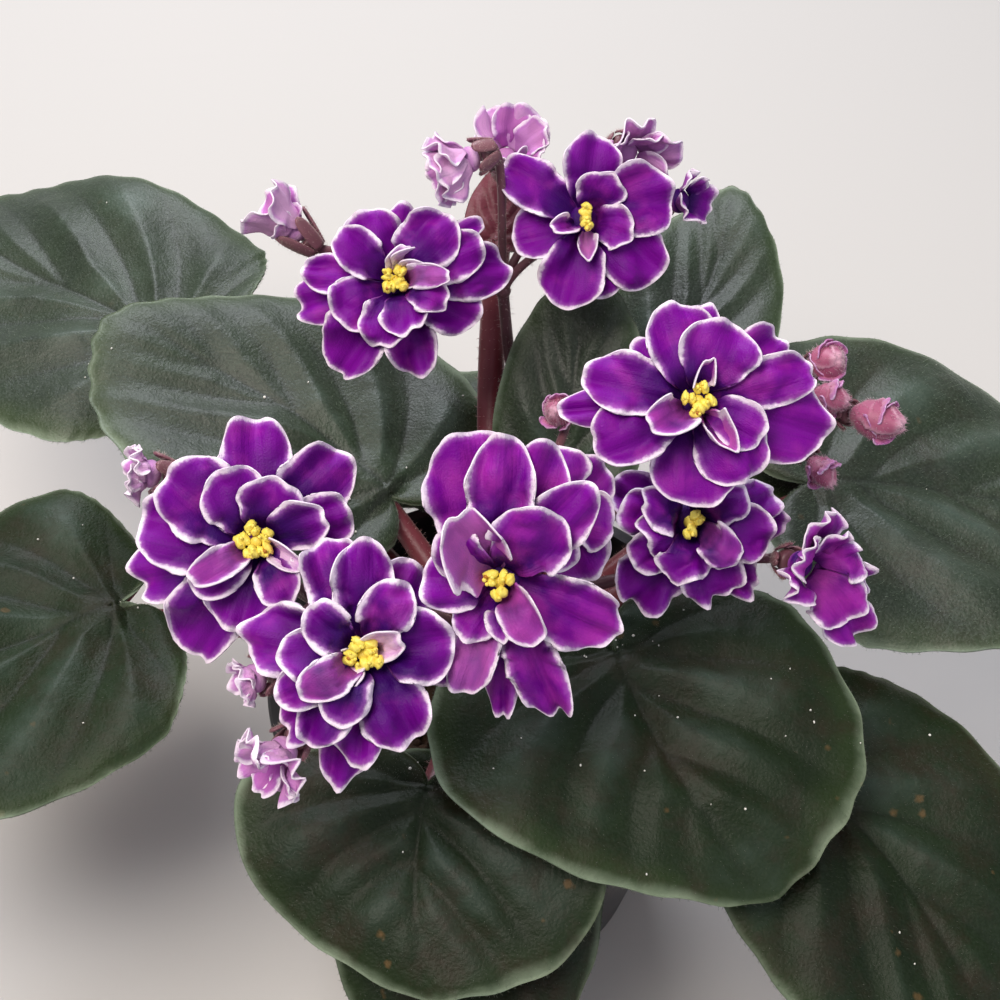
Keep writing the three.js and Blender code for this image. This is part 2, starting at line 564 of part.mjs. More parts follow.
// The sheet of one petal: narrow at its root, blunt and ruffled at its tip.
function petalPoint(bloom, frame, petal, draws, s, v) {
  const [around, reach, width, opening] = petal;
  const away = frame.right.clone().multiplyScalar(Math.cos(radians(around)))
    .addScaledVector(frame.up, Math.sin(radians(around)));
  const across = frame.out.clone().cross(away);
  const curl = radians(PETAL_LEAST_CURL + PETAL_CURL_RANGE * draws.curl);
  const first = radians(opening) - curl / 2;
  const outward = (t) => (Math.cos(first) - Math.cos(first + curl * t)) / curl;
  const forward = (t) => (Math.sin(first + curl * t) - Math.sin(first)) / curl;
  const length = (reach - PETAL_ROOT_OUT) / outward(1);
  const t = s * (1 - PETAL_TIP_ROUNDING * v * v);
  const widening = Math.sin(Math.min(1, t / PETAL_WIDEST_AT) * (Math.PI / 2));
  const narrow = PETAL_ROOT_WIDTH + (1 - PETAL_ROOT_WIDTH) * widening;
  const pastWidest = Math.max(0, (t - PETAL_WIDEST_AT) / (1 - PETAL_WIDEST_AT));
  const half = 0.5 * width * narrow * (1 - PETAL_TIP_NARROWING * pastWidest ** 2);
  const slope = first + curl * t;
  const inner = frame.out.clone().multiplyScalar(Math.sin(slope))
    .addScaledVector(away, -Math.cos(slope));
  const tipWave = t * t * Math.sin(2.2 * Math.PI * v + draws.tip);
  const sideWave = 0.7 * v ** 4 * t * Math.sin(3 * Math.PI * t + draws.side);
  const cup = PETAL_CUP * width * v * v * narrow + PETAL_TWIST * half * v;
  const lift = cup + bloom.ruffle * (tipWave + sideWave);
  const layer = (opening < OUTER_OPENING ? INNER_LAYER_LIFT : 0) - CORE_BACK;
  return vec(...bloom.at)
    .addScaledVector(frame.out, layer + length * forward(t))
    .addScaledVector(away, PETAL_ROOT_OUT + length * outward(t))
    .addScaledVector(across, half * v)
    .addScaledVector(inner, lift);
}

function petalDraws(draw) {
  return { curl: draw(), tip: 2 * Math.PI * draw(), side: 2 * Math.PI * draw() };
}

function buildPetal(bloom, frame, petal, draws) {
  const steps = petal[1] < SMALL_PETAL_REACH ? SMALL_PETAL_STEPS : PETAL_STEPS;
  const points = [];
  const faces = [];
  for (let i = 0; i <= steps; i += 1) {
    for (let j = 0; j <= PETAL_LANES; j += 1) {
      points.push(petalPoint(bloom, frame, petal, draws, i / steps, (2 * j) / PETAL_LANES - 1));
    }
  }
  const row = PETAL_LANES + 1;
  for (let i = 0; i < steps; i += 1) {
    for (let j = 0; j < PETAL_LANES; j += 1) {
      const a = i * row + j;
      faces.push([a, a + row, a + row + 1], [a, a + row + 1, a + 1]);
    }
  }
  return thicken(points, faces, PETAL_THICKNESS);
}

function buildBloom(bloom) {
  const frame = faceFrame(bloom.faces);
  const draw = drawsFrom(bloom.seed);
  const heart = vec(...bloom.at).addScaledVector(frame.out, -CORE_BACK);
  const radii = [CORE_RADIUS, CORE_RADIUS, CORE_HALF_DEPTH];
  const core = ball(heart, frame, radii, new THREE.IcosahedronGeometry(1, 0));
  const petals = bloom.petals.map((petal) => buildPetal(bloom, frame, petal, petalDraws(draw)));
  return lightened(fuse([core, ...petals]));
}

// The pollen sacs: a short filament and the swollen sacs round its top.
function buildSacs(bloom) {
  const frame = faceFrame(bloom.faces);
  const foot = CORE_HALF_DEPTH - CORE_BACK + GAP;
  const heart = vec(...bloom.at);
  const filament = taperedBar(
    new THREE.LineCurve3(
      heart.clone().addScaledVector(frame.out, foot),
      heart.clone().addScaledVector(frame.out, foot + FILAMENT_LENGTH),
    ),
    () => FILAMENT_RADIUS,
    4,
    1,
  );
  const radii = [SAC_RADIUS, SAC_RADIUS, SAC_HALF_DEPTH];
  const ring = bloom.sacs > 1 ? 1.1 + 0.16 * bloom.sacs : 0; // more sacs need a wider ring
  const sacs = Array.from({ length: bloom.sacs }, (_, k) => {
    const turn = (2 * Math.PI * k) / bloom.sacs + bloom.seed;
    const centre = heart.clone()
      .addScaledVector(frame.right, ring * Math.cos(turn))
      .addScaledVector(frame.up, ring * Math.sin(turn))
      .addScaledVector(frame.out, foot + SAC_RISE);
    return ball(centre, frame, radii, new THREE.OctahedronGeometry(1, 0));
  });
  return lightened(fuse([filament, ...sacs]));
}

// ---------------------------------------------------------------- buds

// A closed bud: a drop with three grooves that turn about it, where its petals overlap.
function buildBud(bud) {
  const frame = faceFrame(bud.faces);
  const points = [];
  const faces = [];
  const middle = vec(...bud.at);
  const steps = BUD_PROFILE.length - 1;
  BUD_PROFILE.forEach((share, i) => {
    const along = (i / steps - 0.5) * bud.length;
    for (let k = 0; k < BUD_SIDES; k += 1) {
      const turn = (2 * Math.PI * (k + BUD_TURN * i)) / BUD_SIDES;
      const radius = 0.5 * bud.width * share * (k % 3 === 0 ? BUD_GROOVE : 1);
      points.push(middle.clone()
        .addScaledVector(frame.right, radius * Math.cos(turn))
        .addScaledVector(frame.up, radius * Math.sin(turn))
        .addScaledVector(frame.out, along));
    }
  });
  for (let i = 0; i < steps; i += 1) {
    for (let k = 0; k < BUD_SIDES; k += 1) {
      const a = i * BUD_SIDES + k;
      const b = i * BUD_SIDES + ((k + 1) % BUD_SIDES);
      faces.push([a, b, b + BUD_SIDES], [a, b + BUD_SIDES, a + BUD_SIDES]);
    }
  }
  const top = steps * BUD_SIDES;
  for (let k = 1; k < BUD_SIDES - 1; k += 1) {
    faces.push([0, k + 1, k]);
    faces.push([top, top + k, top + k + 1]);
  }
  return solidOf(points, faces);
}

// ---------------------------------------------------------------- flower stalks

// Where a bloom or bud meets its calyx, and the directions there.
function seatOf(name) {
  const bloom = BLOOMS.find((b) => b.name === name);
  const head = bloom ?? BUDS.find((b) => b.name === name);
  const frame = faceFrame(head.faces);
  const back = bloom ? CORE_BACK + CORE_HALF_DEPTH : head.length / 2;
  return {
    frame,
    point: vec(...head.at).addScaledVector(frame.out, -back - GAP),
    radius: bloom ? CALYX_RADIUS : BUD_CALYX * head.width,
  };
}

// Five short sepals as a star-edged cone.
function buildCalyx(seat) {
  const points = [];
  const faces = [];
  for (const [depth, size, notch] of [[0, 1, CALYX_NOTCH], [CALYX_LENGTH, CALYX_FOOT, 1]]) {
    for (let k = 0; k < CALYX_SIDES; k += 1) {
      const turn = (2 * Math.PI * k) / CALYX_SIDES;
      const radius = seat.radius * size * (k % 2 ? notch : 1);
      points.push(seat.point.clone()
        .addScaledVector(seat.frame.right, radius * Math.cos(turn))
        .addScaledVector(seat.frame.up, radius * Math.sin(turn))
        .addScaledVector(seat.frame.out, -depth));
    }
  }
  points.push(seat.point.clone());
  const middle = points.length - 1;
  for (let k = 0; k < CALYX_SIDES; k += 1) {
    const next = (k + 1) % CALYX_SIDES;
    faces.push([k, next + CALYX_SIDES, next], [k, k + CALYX_SIDES, next + CALYX_SIDES]);
    faces.push([middle, k, next]);
  }
  for (let k = 1; k < CALYX_SIDES - 1; k += 1) {
    faces.push([CALYX_SIDES, CALYX_SIDES + k + 1, CALYX_SIDES + k]);
  }
  return solidOf(points, faces);
}

// The foot of a spray's main stalk, sunk into the top of the crown.
function footOf({ root: [x, y] }) {
  const share = 1 - (x * x + y * y) / (CROWN_RADIUS * CROWN_RADIUS);
  return vec(x, y, NECK_TOP + CROWN_HALF_HEIGHT * Math.sqrt(share) - SOCKET_DEPTH);
}

// The main stalk of a spray. grow makes it fatter, for its socket in the crown.
function mainStalk(spray, grow = 0) {
  const foot = footOf(spray);
  const straight = foot.clone().addScaledVector(UP, STALK_STRAIGHT_FOOT);
  const route = spray.route.map((p) => vec(...p));
  const path = new THREE.CatmullRomCurve3([foot, straight, ...route, vec(...spray.fork)]);
  const radiusAt = (t) => STALK_RADIUS - STALK_TAPER * t + grow;
  return taperedBar(path, radiusAt, STALK_SIDES, STALK_STEPS);
}

function buildSpray(spray) {
  const fork = vec(...spray.fork);
  const rise = fork.clone().sub(vec(...spray.route.at(-1))).normalize();
  const parts = [mainStalk(spray)];
  for (const name of spray.carries) {
    const seat = seatOf(name);
    const back = (1 - BRANCH_INTO_CALYX) * CALYX_LENGTH;
    const end = seat.point.clone().addScaledVector(seat.frame.out, -back);
    const span = end.distanceTo(fork);
    const branch = new THREE.CubicBezierCurve3(
      fork.clone().addScaledVector(rise, -BRANCH_ROOT_SUNK),
      fork.clone().addScaledVector(rise, 0.25 * span),
      end.clone().addScaledVector(seat.frame.out, -0.1 * span),
      end,
    );
    parts.push(taperedBar(branch, () => BRANCH_RADIUS, BRANCH_SIDES, BRANCH_STEPS));
    parts.push(buildCalyx(seat));
  }
  return lightened(fuse(parts));
}

// ---------------------------------------------------------------- crown and leaf stalks

// A leaf's stalk: straight out from the axis, up in a low arch, and in under the blade.
function buildPetiole(leaf) {
  const frame = leafFrame(leaf);
  const girth = leaf.girth ?? 1;
  const outward = vec(leaf.hub[0], leaf.hub[1], 0).normalize();
  const start = outward.clone().multiplyScalar(PETIOLE_ROOT_OUT).addScaledVector(UP, leaf.root);
  const under = girth * PETIOLE_TIP_RADIUS + LEAF_THICKNESS / 2 + GAP;
  const end = vec(...leaf.hub)
    .addScaledVector(frame.along, PETIOLE_REACH_UNDER)
    .addScaledVector(frame.out, -under);
  const span = end.distanceTo(start);
  const curve = new THREE.CubicBezierCurve3(
    start,
    start.clone().addScaledVector(outward, 0.4 * span).addScaledVector(UP, PETIOLE_ARCH),
    end.clone().addScaledVector(frame.along, -0.32 * span).addScaledVector(frame.out, -0.12 * span),
    end,
  );
  const taper = PETIOLE_TIP_RADIUS - PETIOLE_ROOT_RADIUS;
  const radiusAt = (t) => girth * (PETIOLE_ROOT_RADIUS + taper * t);
  return taperedBar(curve, radiusAt, PETIOLE_SIDES, PETIOLE_STEPS)
    .subtract(buildLeaf(leaf, GAP));
}

function buildCrown() {
  const upright = { right: vec(1, 0, 0), up: vec(0, 1, 0), out: UP };
  const neck = turned([
    [0, NECK_BOTTOM],
    [NECK_RADIUS, NECK_BOTTOM],
    [NECK_RADIUS, NECK_TOP],
    [0, NECK_TOP],
  ], 12);
  const radii = [CROWN_RADIUS, CROWN_RADIUS, CROWN_HALF_HEIGHT];
  const dome = ball(vec(0, 0, NECK_TOP), upright, radii, new THREE.IcosahedronGeometry(1, 1));
  const body = fuse([neck, dome, ...LEAVES.map((leaf) => largestBody(buildPetiole(leaf)))]);
  const sockets = SPRAYS.map((spray) => {
    const foot = footOf(spray);
    const floor = new THREE.LineCurve3(foot.clone().add(vec(0, 0, -GAP)), foot);
    const wide = STALK_RADIUS + GAP;
    return mainStalk(spray, GAP).add(taperedBar(floor, () => wide, STALK_SIDES + 1, 1));
  });
  return lightened(sockets.reduce((crown, socket) => crown.subtract(socket), body));
}

// ---------------------------------------------------------------- assembly

const plant = new THREE.Group();
plant.add(meshOf('pot', buildPot(), FINISH.pot));
plant.add(meshOf('potting_mix', buildMix(), FINISH.mix));
plant.add(meshOf('crown_and_leaf_stalks', buildCrown(), FINISH.stalk));
for (const leaf of LEAVES) plant.add(meshOf(leaf.name, buildLeaf(leaf), FINISH.leaf));
for (const spray of SPRAYS) plant.add(meshOf(spray.name, buildSpray(spray), FINISH.stem));
for (const bloom of BLOOMS) {
  plant.add(meshOf(bloom.name, buildBloom(bloom), bloom.pale ? FINISH.pale : FINISH.petal));
  if (bloom.sacs) plant.add(meshOf(`${bloom.name}_pollen`, buildSacs(bloom), FINISH.sac));
}
for (const bud of BUDS) plant.add(meshOf(bud.name, buildBud(bud), FINISH.bud));

export default plant;
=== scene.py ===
# A potted african violet: velvet leaves on red stalks, ruffled double blooms and a plain pot.
# Sizes are in millimetres up to the point where a mesh is made, and in metres from there.
# The origin is the centre of the pot's flat bottom, +Z is up and the front is -Y.

import json
import math

import bpy
import numpy as np
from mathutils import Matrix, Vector


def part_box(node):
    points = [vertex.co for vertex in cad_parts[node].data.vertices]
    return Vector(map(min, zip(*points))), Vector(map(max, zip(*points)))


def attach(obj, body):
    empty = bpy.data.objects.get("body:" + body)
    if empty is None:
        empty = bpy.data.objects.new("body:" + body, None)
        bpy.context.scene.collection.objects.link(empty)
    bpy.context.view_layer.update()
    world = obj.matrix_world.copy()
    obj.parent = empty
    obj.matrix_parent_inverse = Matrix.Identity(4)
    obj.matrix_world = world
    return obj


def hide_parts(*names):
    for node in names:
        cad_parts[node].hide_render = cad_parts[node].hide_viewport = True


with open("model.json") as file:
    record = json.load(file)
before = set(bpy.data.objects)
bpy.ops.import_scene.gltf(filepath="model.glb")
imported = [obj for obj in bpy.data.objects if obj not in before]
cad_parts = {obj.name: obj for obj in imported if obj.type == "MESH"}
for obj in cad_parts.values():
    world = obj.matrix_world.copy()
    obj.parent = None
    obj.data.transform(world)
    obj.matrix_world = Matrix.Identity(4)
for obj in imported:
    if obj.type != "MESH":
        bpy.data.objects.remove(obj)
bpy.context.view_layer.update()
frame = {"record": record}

bl_info = {
    "name": "Potted African Violet",
    "version": (1, 0, 0),
    "blender": (4, 5, 0),
    "location": "3D View > Sidebar > Violet",
    "description": "Builds a potted african violet round its solid model",
    "category": "Object",
}

MM = 0.001  # metres in a millimetre
BODY = "root"
UP = np.array([0.0, 0.0, 1.0])

# ---------------------------------------------------------------- pot and potting mix

POT_WALL = 1.8
POT_FLOOR = 2.4
POT_BAND_HEIGHT = 12
POT_BAND_STEP = 1.6
DRAIN_HOLES = 4
DRAIN_RADIUS = 4
DRAIN_CIRCLE_RADIUS = 21
RECESS_RADIUS = 14  # of the shallow recess under the pot's floor
RECESS_DEPTH = 0.6
POT_SIDES = 144
SHARPEST_CURVE = 32  # degrees; a steeper step between faces is an edge
DRAIN_SIDES = 40
MIX_EDGE_HEIGHT = 70
MIX_MOUND = 4
MIX_RINGS = 44
MIX_SIDES = 150
LUMP_HEIGHT = 0.34
CRUMBS = 900
NECK_RADIUS = 7
NECK_BOTTOM = 58
NECK_TOP = 84
CROWN_RADIUS = 11
CROWN_HALF_HEIGHT = 8
GAP = 0.3

# ---------------------------------------------------------------- the leaves
# hub: where stalk and blade meet. heading: compass direction of the tip, from +X towards +Y.
# pitch: rise of the tip. roll: turn about the midrib. length: hub to tip. breadth: width
# against the standard outline. lobes: how far the lobes reach behind the hub. bend: sideways
# curve of the midrib. droop: fall of the tip. fold: lift of the halves. wave, phase: height
# and start of the edge's waves. root: height of the stalk in the crown.

LEAF_KEYS = ("hub", "heading", "pitch", "roll", "length", "breadth", "lobes", "bend", "droop",
             "fold", "wave", "phase", "root")
LEAF_ROWS = {
    "leaf_left_back": ((-78, 82, 97), 147, 2, -4, 88, 0.6, 0.35, -0.03, 0.1, 0.04, 1.6, 0.4, 79),
    "leaf_left": ((-22.8, 28.7, 104), 141, 20, 2, 66, 0.7, 0.4, 0.16, 0.06, 0.05, 1.4, 2.1, 86),
    "leaf_left_front": ((-78, 4.6, 95), 206, 4, 0, 68, 0.71, 0.42, 0.12, 0.12, 0.05, 1.5, 4.2, 80),
    "leaf_front": ((-12.8, -37.6, 94.7), -101, -12.5, 0, 34.4, 1.35, 0.55, 0.18, 0.12, 0.03,
                   1.4, 1.3, 83),
    "leaf_front_right": ((23.3, -14.8, 105.2), -73, -2.4, 0, 47.6, 1.11, 0.73, 0.2, 0.1, 0.04,
                         1.6, 5.1, 87),
    "leaf_right": ((69.5, 32.6, 101.1), 8, -3.3, 4, 73.2, 0.76, 0.52, -0.23, 0.1, 0.05,
                   1.6, 0.9, 82),
    "leaf_right_lower": ((60.8, -30.1, 87.2), -44, -8.2, 0, 67.3, 0.66, 0.67, -0.28, 0.1, 0.04,
                         1.6, 3.0, 79),
    "leaf_back_right": ((35.4, 54.7, 107.9), 57, 21.4, 0, 52.1, 0.49, 0.55, 0.18, 0.08, 0.05,
                        1.2, 2.6, 86),
    "leaf_right_behind": ((56, 50, 93), 42, 2, 0, 46, 0.7, 0.5, 0, 0.1, 0.04, 1.3, 1.0, 80),
    "leaf_under_front": ((-6, -33, 84), -89, -13, 0, 52, 0.68, 0.5, 0, 0.1, 0.03, 1.4, 0.2, 78),
    "leaf_back": ((-7, 46, 85.5), 92, -1, 0, 42, 0.75, 0.5, 0, 0.12, 0.05, 1.3, 3.7, 79),
    "leaf_young_back": ((14, 31, 104), 80, 47, 0, 42, 0.5, 0.5, 0, 0.02, 0.08, 0.8, 1.9, 89),
    "leaf_young_left": ((-13, 40, 92), 99, 3, 0, 30, 0.74, 0.5, 0, 0.02, 0.06, 0.7, 0.6, 85),
    "leaf_young_red": ((0, 70, 136), 76, 34, 0, 16, 0.6, 0.5, 0, 0, 0.16, 0.5, 0.6, 83),
}
LEAVES = {name: dict(zip(LEAF_KEYS, row)) for name, row in LEAF_ROWS.items()}
LEAF_THICKNESS = 1.15
LEAF_WAVES = 5
PETIOLE_ROOT_RADIUS = 2.9
PETIOLE_TIP_RADIUS = 1.9
THICKER_STALKS = {"leaf_young_red": 1.25}  # against the usual stalk
# How old a leaf looks, from 0 to 1; on the front leaves its darkening is partly painted shade.
AGE_AND_SHADE = {"leaf_front": 1, "leaf_front_right": 0.75, "leaf_right_lower": 0.8,
        "leaf_under_front": 1, "leaf_right": 0.45, "leaf_left_front": 0.6}
YOUNG_AGE = 0.1  # of the leaves that aren't listed
OLD_AGE = 0.6  # leaves from this age on have lost much of their sheen
# How many bits of dust lie on a blade.
SPECKS = {"leaf_front_right": 40, "leaf_left": 8, "leaf_left_back": 9, "leaf_left_front": 6,
          "leaf_right": 8, "leaf_right_lower": 9, "leaf_front": 8}
# Where each side vein leaves the midrib, as a share of the blade's length, and its angle there.
SIDE_VEINS = ((0, 120), (0, 78), (0.12, 54), (0.4, 46), (0.66, 38))
VEIN_BEND = 38  # degrees that a side vein turns towards the tip over one blade length
DOWN_DENSITY = 0.9  # hairs on a square millimetre of a blade
BLADE_FILL = 0.4  # a blade's share of the oval with half axes length and length * breadth
RIM_HAIRS = 4  # for each point of a blade's edge
DOWN_RADIUS = 0.03
RIM_DOWN_RADIUS = 0.035
STALK_DOWN_RADIUS = 0.04

# ---------------------------------------------------------------- the blooms
# at: the middle of the pollen sacs. faces: turn from the front towards +X, and rise.
# petals: direction round the bloom, reach of the tip from the middle, width, opening angle.
# extra: the small inner and hindmost petals, given in the same way, where a fifth number says
# how far the sides roll in and a sixth how white the petal is. blush: how pink the petals are.
# deep: how dark they are. frill: how deep the waves of their rims are. broad_rim: what the
# white rim has more than usual, in millimetres. sacs: how many pollen sacs show.

BLOOM_ROWS = {
    "bloom_top": dict(at=(17.9, 56.8, 152), faces=(4, 48), ruffle=0.9, seed=11, sacs=2, petals=[
        (144, 20, 11, 84), (80, 17, 12, 80), (15, 18, 15, 78), (-41, 19, 13, 84),
        (-76, 16, 10, 88), (-107, 18, 13, 84), (192, 15, 11, 88), (59, 9.5, 10, 52),
        (-23, 9.5, 9, 50)], extra=[(-92, 8.5, 5, 46, 0.5, 0.2), (196, 7.5, 5, 46, 0.3)]),
    "bloom_top_left": dict(at=(-18.9, 40.9, 150), faces=(-4, 52), ruffle=1.2, seed=23, sacs=4,
        petals=[
        (193, 20.5, 12, 94), (237, 21, 13, 94), (-73, 18.5, 10, 94), (-20, 17, 12, 94),
        (10, 22, 11, 92), (80, 15, 12, 92), (121, 15, 12, 72), (178, 18, 9, 76),
        (219, 13.5, 12, 70), (262, 13.7, 10, 70), (24, 18.5, 10, 74), (50, 16, 12, 66)],
        extra=[(146, 14, 9, 62), (-69, 11.6, 10, 54), (38, 20.5, 6, 90), (-22, 11.5, 8, 54),
               (44, 7.6, 7, 40, 0.35, 0.85), (16, 7, 6, 34, 0.35, 0.6), (70, 6.6, 6, 32, 0.3, 0.8),
               (2, 11, 6, 50, 0.4, 0.08)]),
    "bloom_left": dict(at=(-39.7, -19.4, 146), faces=(-2, 48), ruffle=1.1, seed=37, sacs=5,
        deep=0.45, broad_rim=0.12, petals=[
        (94, 21.5, 12, 94), (46, 21, 12, 92), (18, 17, 10, 88), (194, 23, 14, 96),
        (-124, 24, 13, 96), (142, 19, 14, 74), (170, 20, 15, 76), (117, 13.5, 11, 64),
        (70, 11.5, 11, 62), (-104, 15.5, 12, 70)],
        extra=[(-137, 13, 8, 62), (-56, 12, 8, 58), (-24, 9.5, 5, 46, 0.45, 0.8),
               (22, 13, 9, 60), (214, 12, 7, 54, 0.4, 0.04)]),
    "bloom_front_left": dict(at=(-21, -39.5, 142), faces=(2, 50), ruffle=1.2, seed=41, sacs=5,
        deep=0.7, frill=1.35, broad_rim=0.12, petals=[
        (108, 20, 11, 92), (57, 17, 11, 90), (-5, 18, 10, 94), (-104, 23, 9, 98),
        (168, 20, 12, 92), (-136, 19, 10, 92), (88, 19, 10, 74), (60, 13.6, 9, 70),
        (8, 15, 13, 72), (-62, 16.7, 12, 76), (-95, 18.3, 9, 80), (-124, 17, 9, 76)],
        extra=[(25, 7.4, 6.5, 38, 0.35, 0.9), (-150, 11.5, 8, 54, 0.3, 0.03), (178, 13.5, 9, 58),
               (138, 12, 8, 58), (204, 6.8, 5.5, 38, 0.35, 0.85), (232, 8, 5, 46, 0.4, 0.5),
               (205, 15.5, 8, 66), (-112, 12, 8, 60)]),
    "bloom_centre": dict(at=(1, -30.8, 150), faces=(-8, 44), ruffle=1.2, seed=53, sacs=3,
        blush=0.12, frill=1.25, petals=[
        (108, 25, 17, 84), (76, 24, 12, 80), (-18, 21, 12, 92), (-86, 23.5, 7, 100),
        (-63, 25.5, 9, 98), (148, 12.4, 9, 60), (-118, 11, 8, 76), (-70, 9, 7, 56)],
        extra=[(126, 13.5, 12, 46, 0.35, 0.12), (-48, 11.5, 8, 56, 0.3, 0.04), (186, 13, 10, 74),
               (58, 15, 13, 64), (-104, 20, 9, 84, 0.2, 0.1), (93, 24.5, 11, 76), (52, 22, 10, 78)]),
    "bloom_centre_behind": dict(at=(11.5, -8.3, 140), faces=(14, 50), ruffle=0.9, seed=59, sacs=1,
        blush=0.1, petals=[
        (87, 11.7, 12, 66), (-25, 9.5, 11, 66), (-124, 10.6, 12, 72), (176, 9.5, 8, 66)],
        extra=[(118, 10, 8, 52), (36, 12, 10, 76), (-75, 13, 11, 84), (150, 12, 9, 80)]),
    "bloom_right": dict(at=(34.6, 1.6, 158), faces=(6, 52), ruffle=1, seed=61, sacs=4,
        petals=[
        (100, 17.4, 13, 80), (63, 14.5, 14, 72), (32, 19.6, 10, 88), (10, 21.5, 9, 80),
        (-18, 24, 14, 88), (-60, 16.4, 13, 84), (-96, 18, 15, 88), (199, 19.6, 12, 86),
        (162, 20.3, 11, 84), (178, 23, 8, 96)],
        extra=[(130, 15, 7, 86), (78, 17.5, 7, 90), (-62, 10.5, 6, 46, 0.7, 0.1),
               (206, 10.5, 8, 52, 0.3, 0.03), (70, 7, 5, 42, 0.7, 0.15), (-36, 13, 9, 68)]),
    "bloom_right_lower": dict(at=(35.3, -5.7, 134), faces=(4, 40), ruffle=1.6, seed=67, sacs=2,
        deep=0.5, frill=1.5, petals=[
        (183, 9.6, 11, 58), (-108, 10, 11, 56), (-9, 14.8, 11, 70), (-72, 15.5, 12, 84),
        (-52, 17.8, 9, 88), (-128, 19, 12, 88), (164, 14, 9, 78), (16, 16, 9, 84)],
        extra=[(146, 11, 8, 56), (-150, 13, 9, 70), (-6, 17.5, 10, 86), (38, 11, 8, 58),
               (60, 14, 9, 72), (150, 16, 9, 88), (-40, 9.5, 8, 52, 0.2, 0.02)]),
    "bloom_far_right": dict(at=(56.5, -13.6, 131), faces=(40, 30), ruffle=1.4, seed=71,
        blush=0.3, frill=1.2, petals=[
        (66, 11, 12, 58), (-80, 12, 11, 62), (-6, 9, 8, 52), (186, 8, 8, 50)],
        extra=[(-78, 18, 10, 74), (40, 8, 7, 40), (120, 8, 8, 50), (-48, 15, 9, 78)]),
    "bloom_nodding_back": dict(at=(-7.5, 58.3, 164), faces=(-72, -12), ruffle=1, seed=73,
        petals=[(90, 7, 10, 38), (10, 7, 10, 36), (-70, 7, 10, 38), (180, 7, 9, 38)],
        extra=[(50, 6.6, 8, 30), (-30, 6.6, 8, 30), (225, 6.5, 8, 30)]),
    "bloom_upper_back": dict(at=(2.5, 75, 155), faces=(24, 76), ruffle=1.2, seed=79,
        petals=[(100, 9, 10, 48), (20, 9, 10, 46), (-60, 8, 10, 42), (200, 8, 10, 44)],
        extra=[(60, 7.5, 8, 34), (-20, 7.5, 8, 32), (240, 7, 8, 32)]),
    "bloom_back_right": dict(at=(27.5, 73.6, 154), faces=(16, 12), ruffle=1.1, seed=83,
        petals=[(90, 9, 11, 50), (12, 10, 10, 50), (-80, 7, 9, 44), (176, 9, 10, 46)],
        extra=[(50, 7.5, 8, 36), (134, 7.5, 8, 36), (-30, 7, 7, 34)]),
    "bloom_back_small": dict(at=(40, 66.5, 149), faces=(70, 22), ruffle=0.9, seed=89,
        petals=[(60, 6, 8, 50), (-50, 7, 8, 50), (176, 6, 8, 46)], extra=[(10, 5, 6, 32)]),
    "bloom_closed_left": dict(at=(-41, 55, 153), faces=(-110, 40), ruffle=0.7, seed=97,
        petals=[(80, 6.4, 9, 24), (-30, 6.6, 10, 26), (200, 6.2, 9, 26)],
        extra=[(20, 4.4, 6, 34), (140, 4, 6, 30)]),
    "bloom_small_left": dict(at=(-63, -4, 146), faces=(-80, 20), ruffle=1, seed=101,
        petals=[(80, 5, 6, 44), (-20, 5, 6, 44), (190, 5, 6, 46)],
        extra=[(130, 4.6, 5, 36), (30, 4.6, 5, 36)]),
    "bloom_small_front": dict(at=(-42.3, -40.2, 134), faces=(-60, 6), ruffle=0.8, seed=103,
        petals=[(80, 3.6, 6, 36), (-40, 4, 6, 38), (200, 4, 6, 36)],
        extra=[(20, 3.8, 5, 30), (140, 3.8, 5, 30)]),
    "bloom_spent_front": dict(at=(-36.3, -51.2, 128), faces=(-35, 5), ruffle=1.3, seed=107,
        petals=[(110, 7, 8, 54), (30, 8, 9, 56), (-60, 8, 9, 60), (-140, 8, 8, 56)],
        extra=[(70, 6, 6, 40), (-15, 6.5, 6, 42), (-100, 6.5, 6, 42), (160, 6, 6, 40)]),
}
USUAL_BLOOM = dict(sacs=0, blush=0, deep=0, frill=1, broad_rim=0)
BLOOMS = {name: USUAL_BLOOM | row for name, row in BLOOM_ROWS.items()}
OUTER_OPENING = 80  # petals that open wider than this lie in the outer layer
PETAL_TWIST = 0.3  # each petal lies over one neighbour and under the other
PETAL_ROOT_OUT = 2.4
PETAL_THICKNESS = 0.42
CORE_RADIUS = 3.6
CORE_HALF_DEPTH = 1.9
CORE_BACK = 3
EXTRA_LAYER_LIFT = 0.5  # the small extra petals stand in front of their neighbours
PETAL_CLEARANCE = 0.55  # between the middles of petals that lie on each other
STACKED_OPENING = 50  # petals that open wider than this lie on each other
HIGHEST_LIFT = 7
STACK_CELL = 0.7  # the heights of the petals already laid are kept on squares of this size
STACK_CELLS = 90
SOFTENING_STEPS = 14  # over which a lift fades out on its petal
FOLDED_ROLL = 0.5  # petals that roll in at least this far close over the pollen
WAVE_LENGTH = 7.5  # of the ruffled rim
OPEN_CORE = 0.92  # of the core's radius, where pollen sacs show
CLOSED_CORE = 0.7  # and where none do
SPENT_FADE = 0.3  # how far half-open and spent blooms have lost their colour
POLLEN_LOBE = (1.2, 0.82, 1.05)  # half sizes of one of a sac's two lobes
LOBE_OFFSET = 0.58
POLLEN_CRUMBS = 9  # that stick to each sac

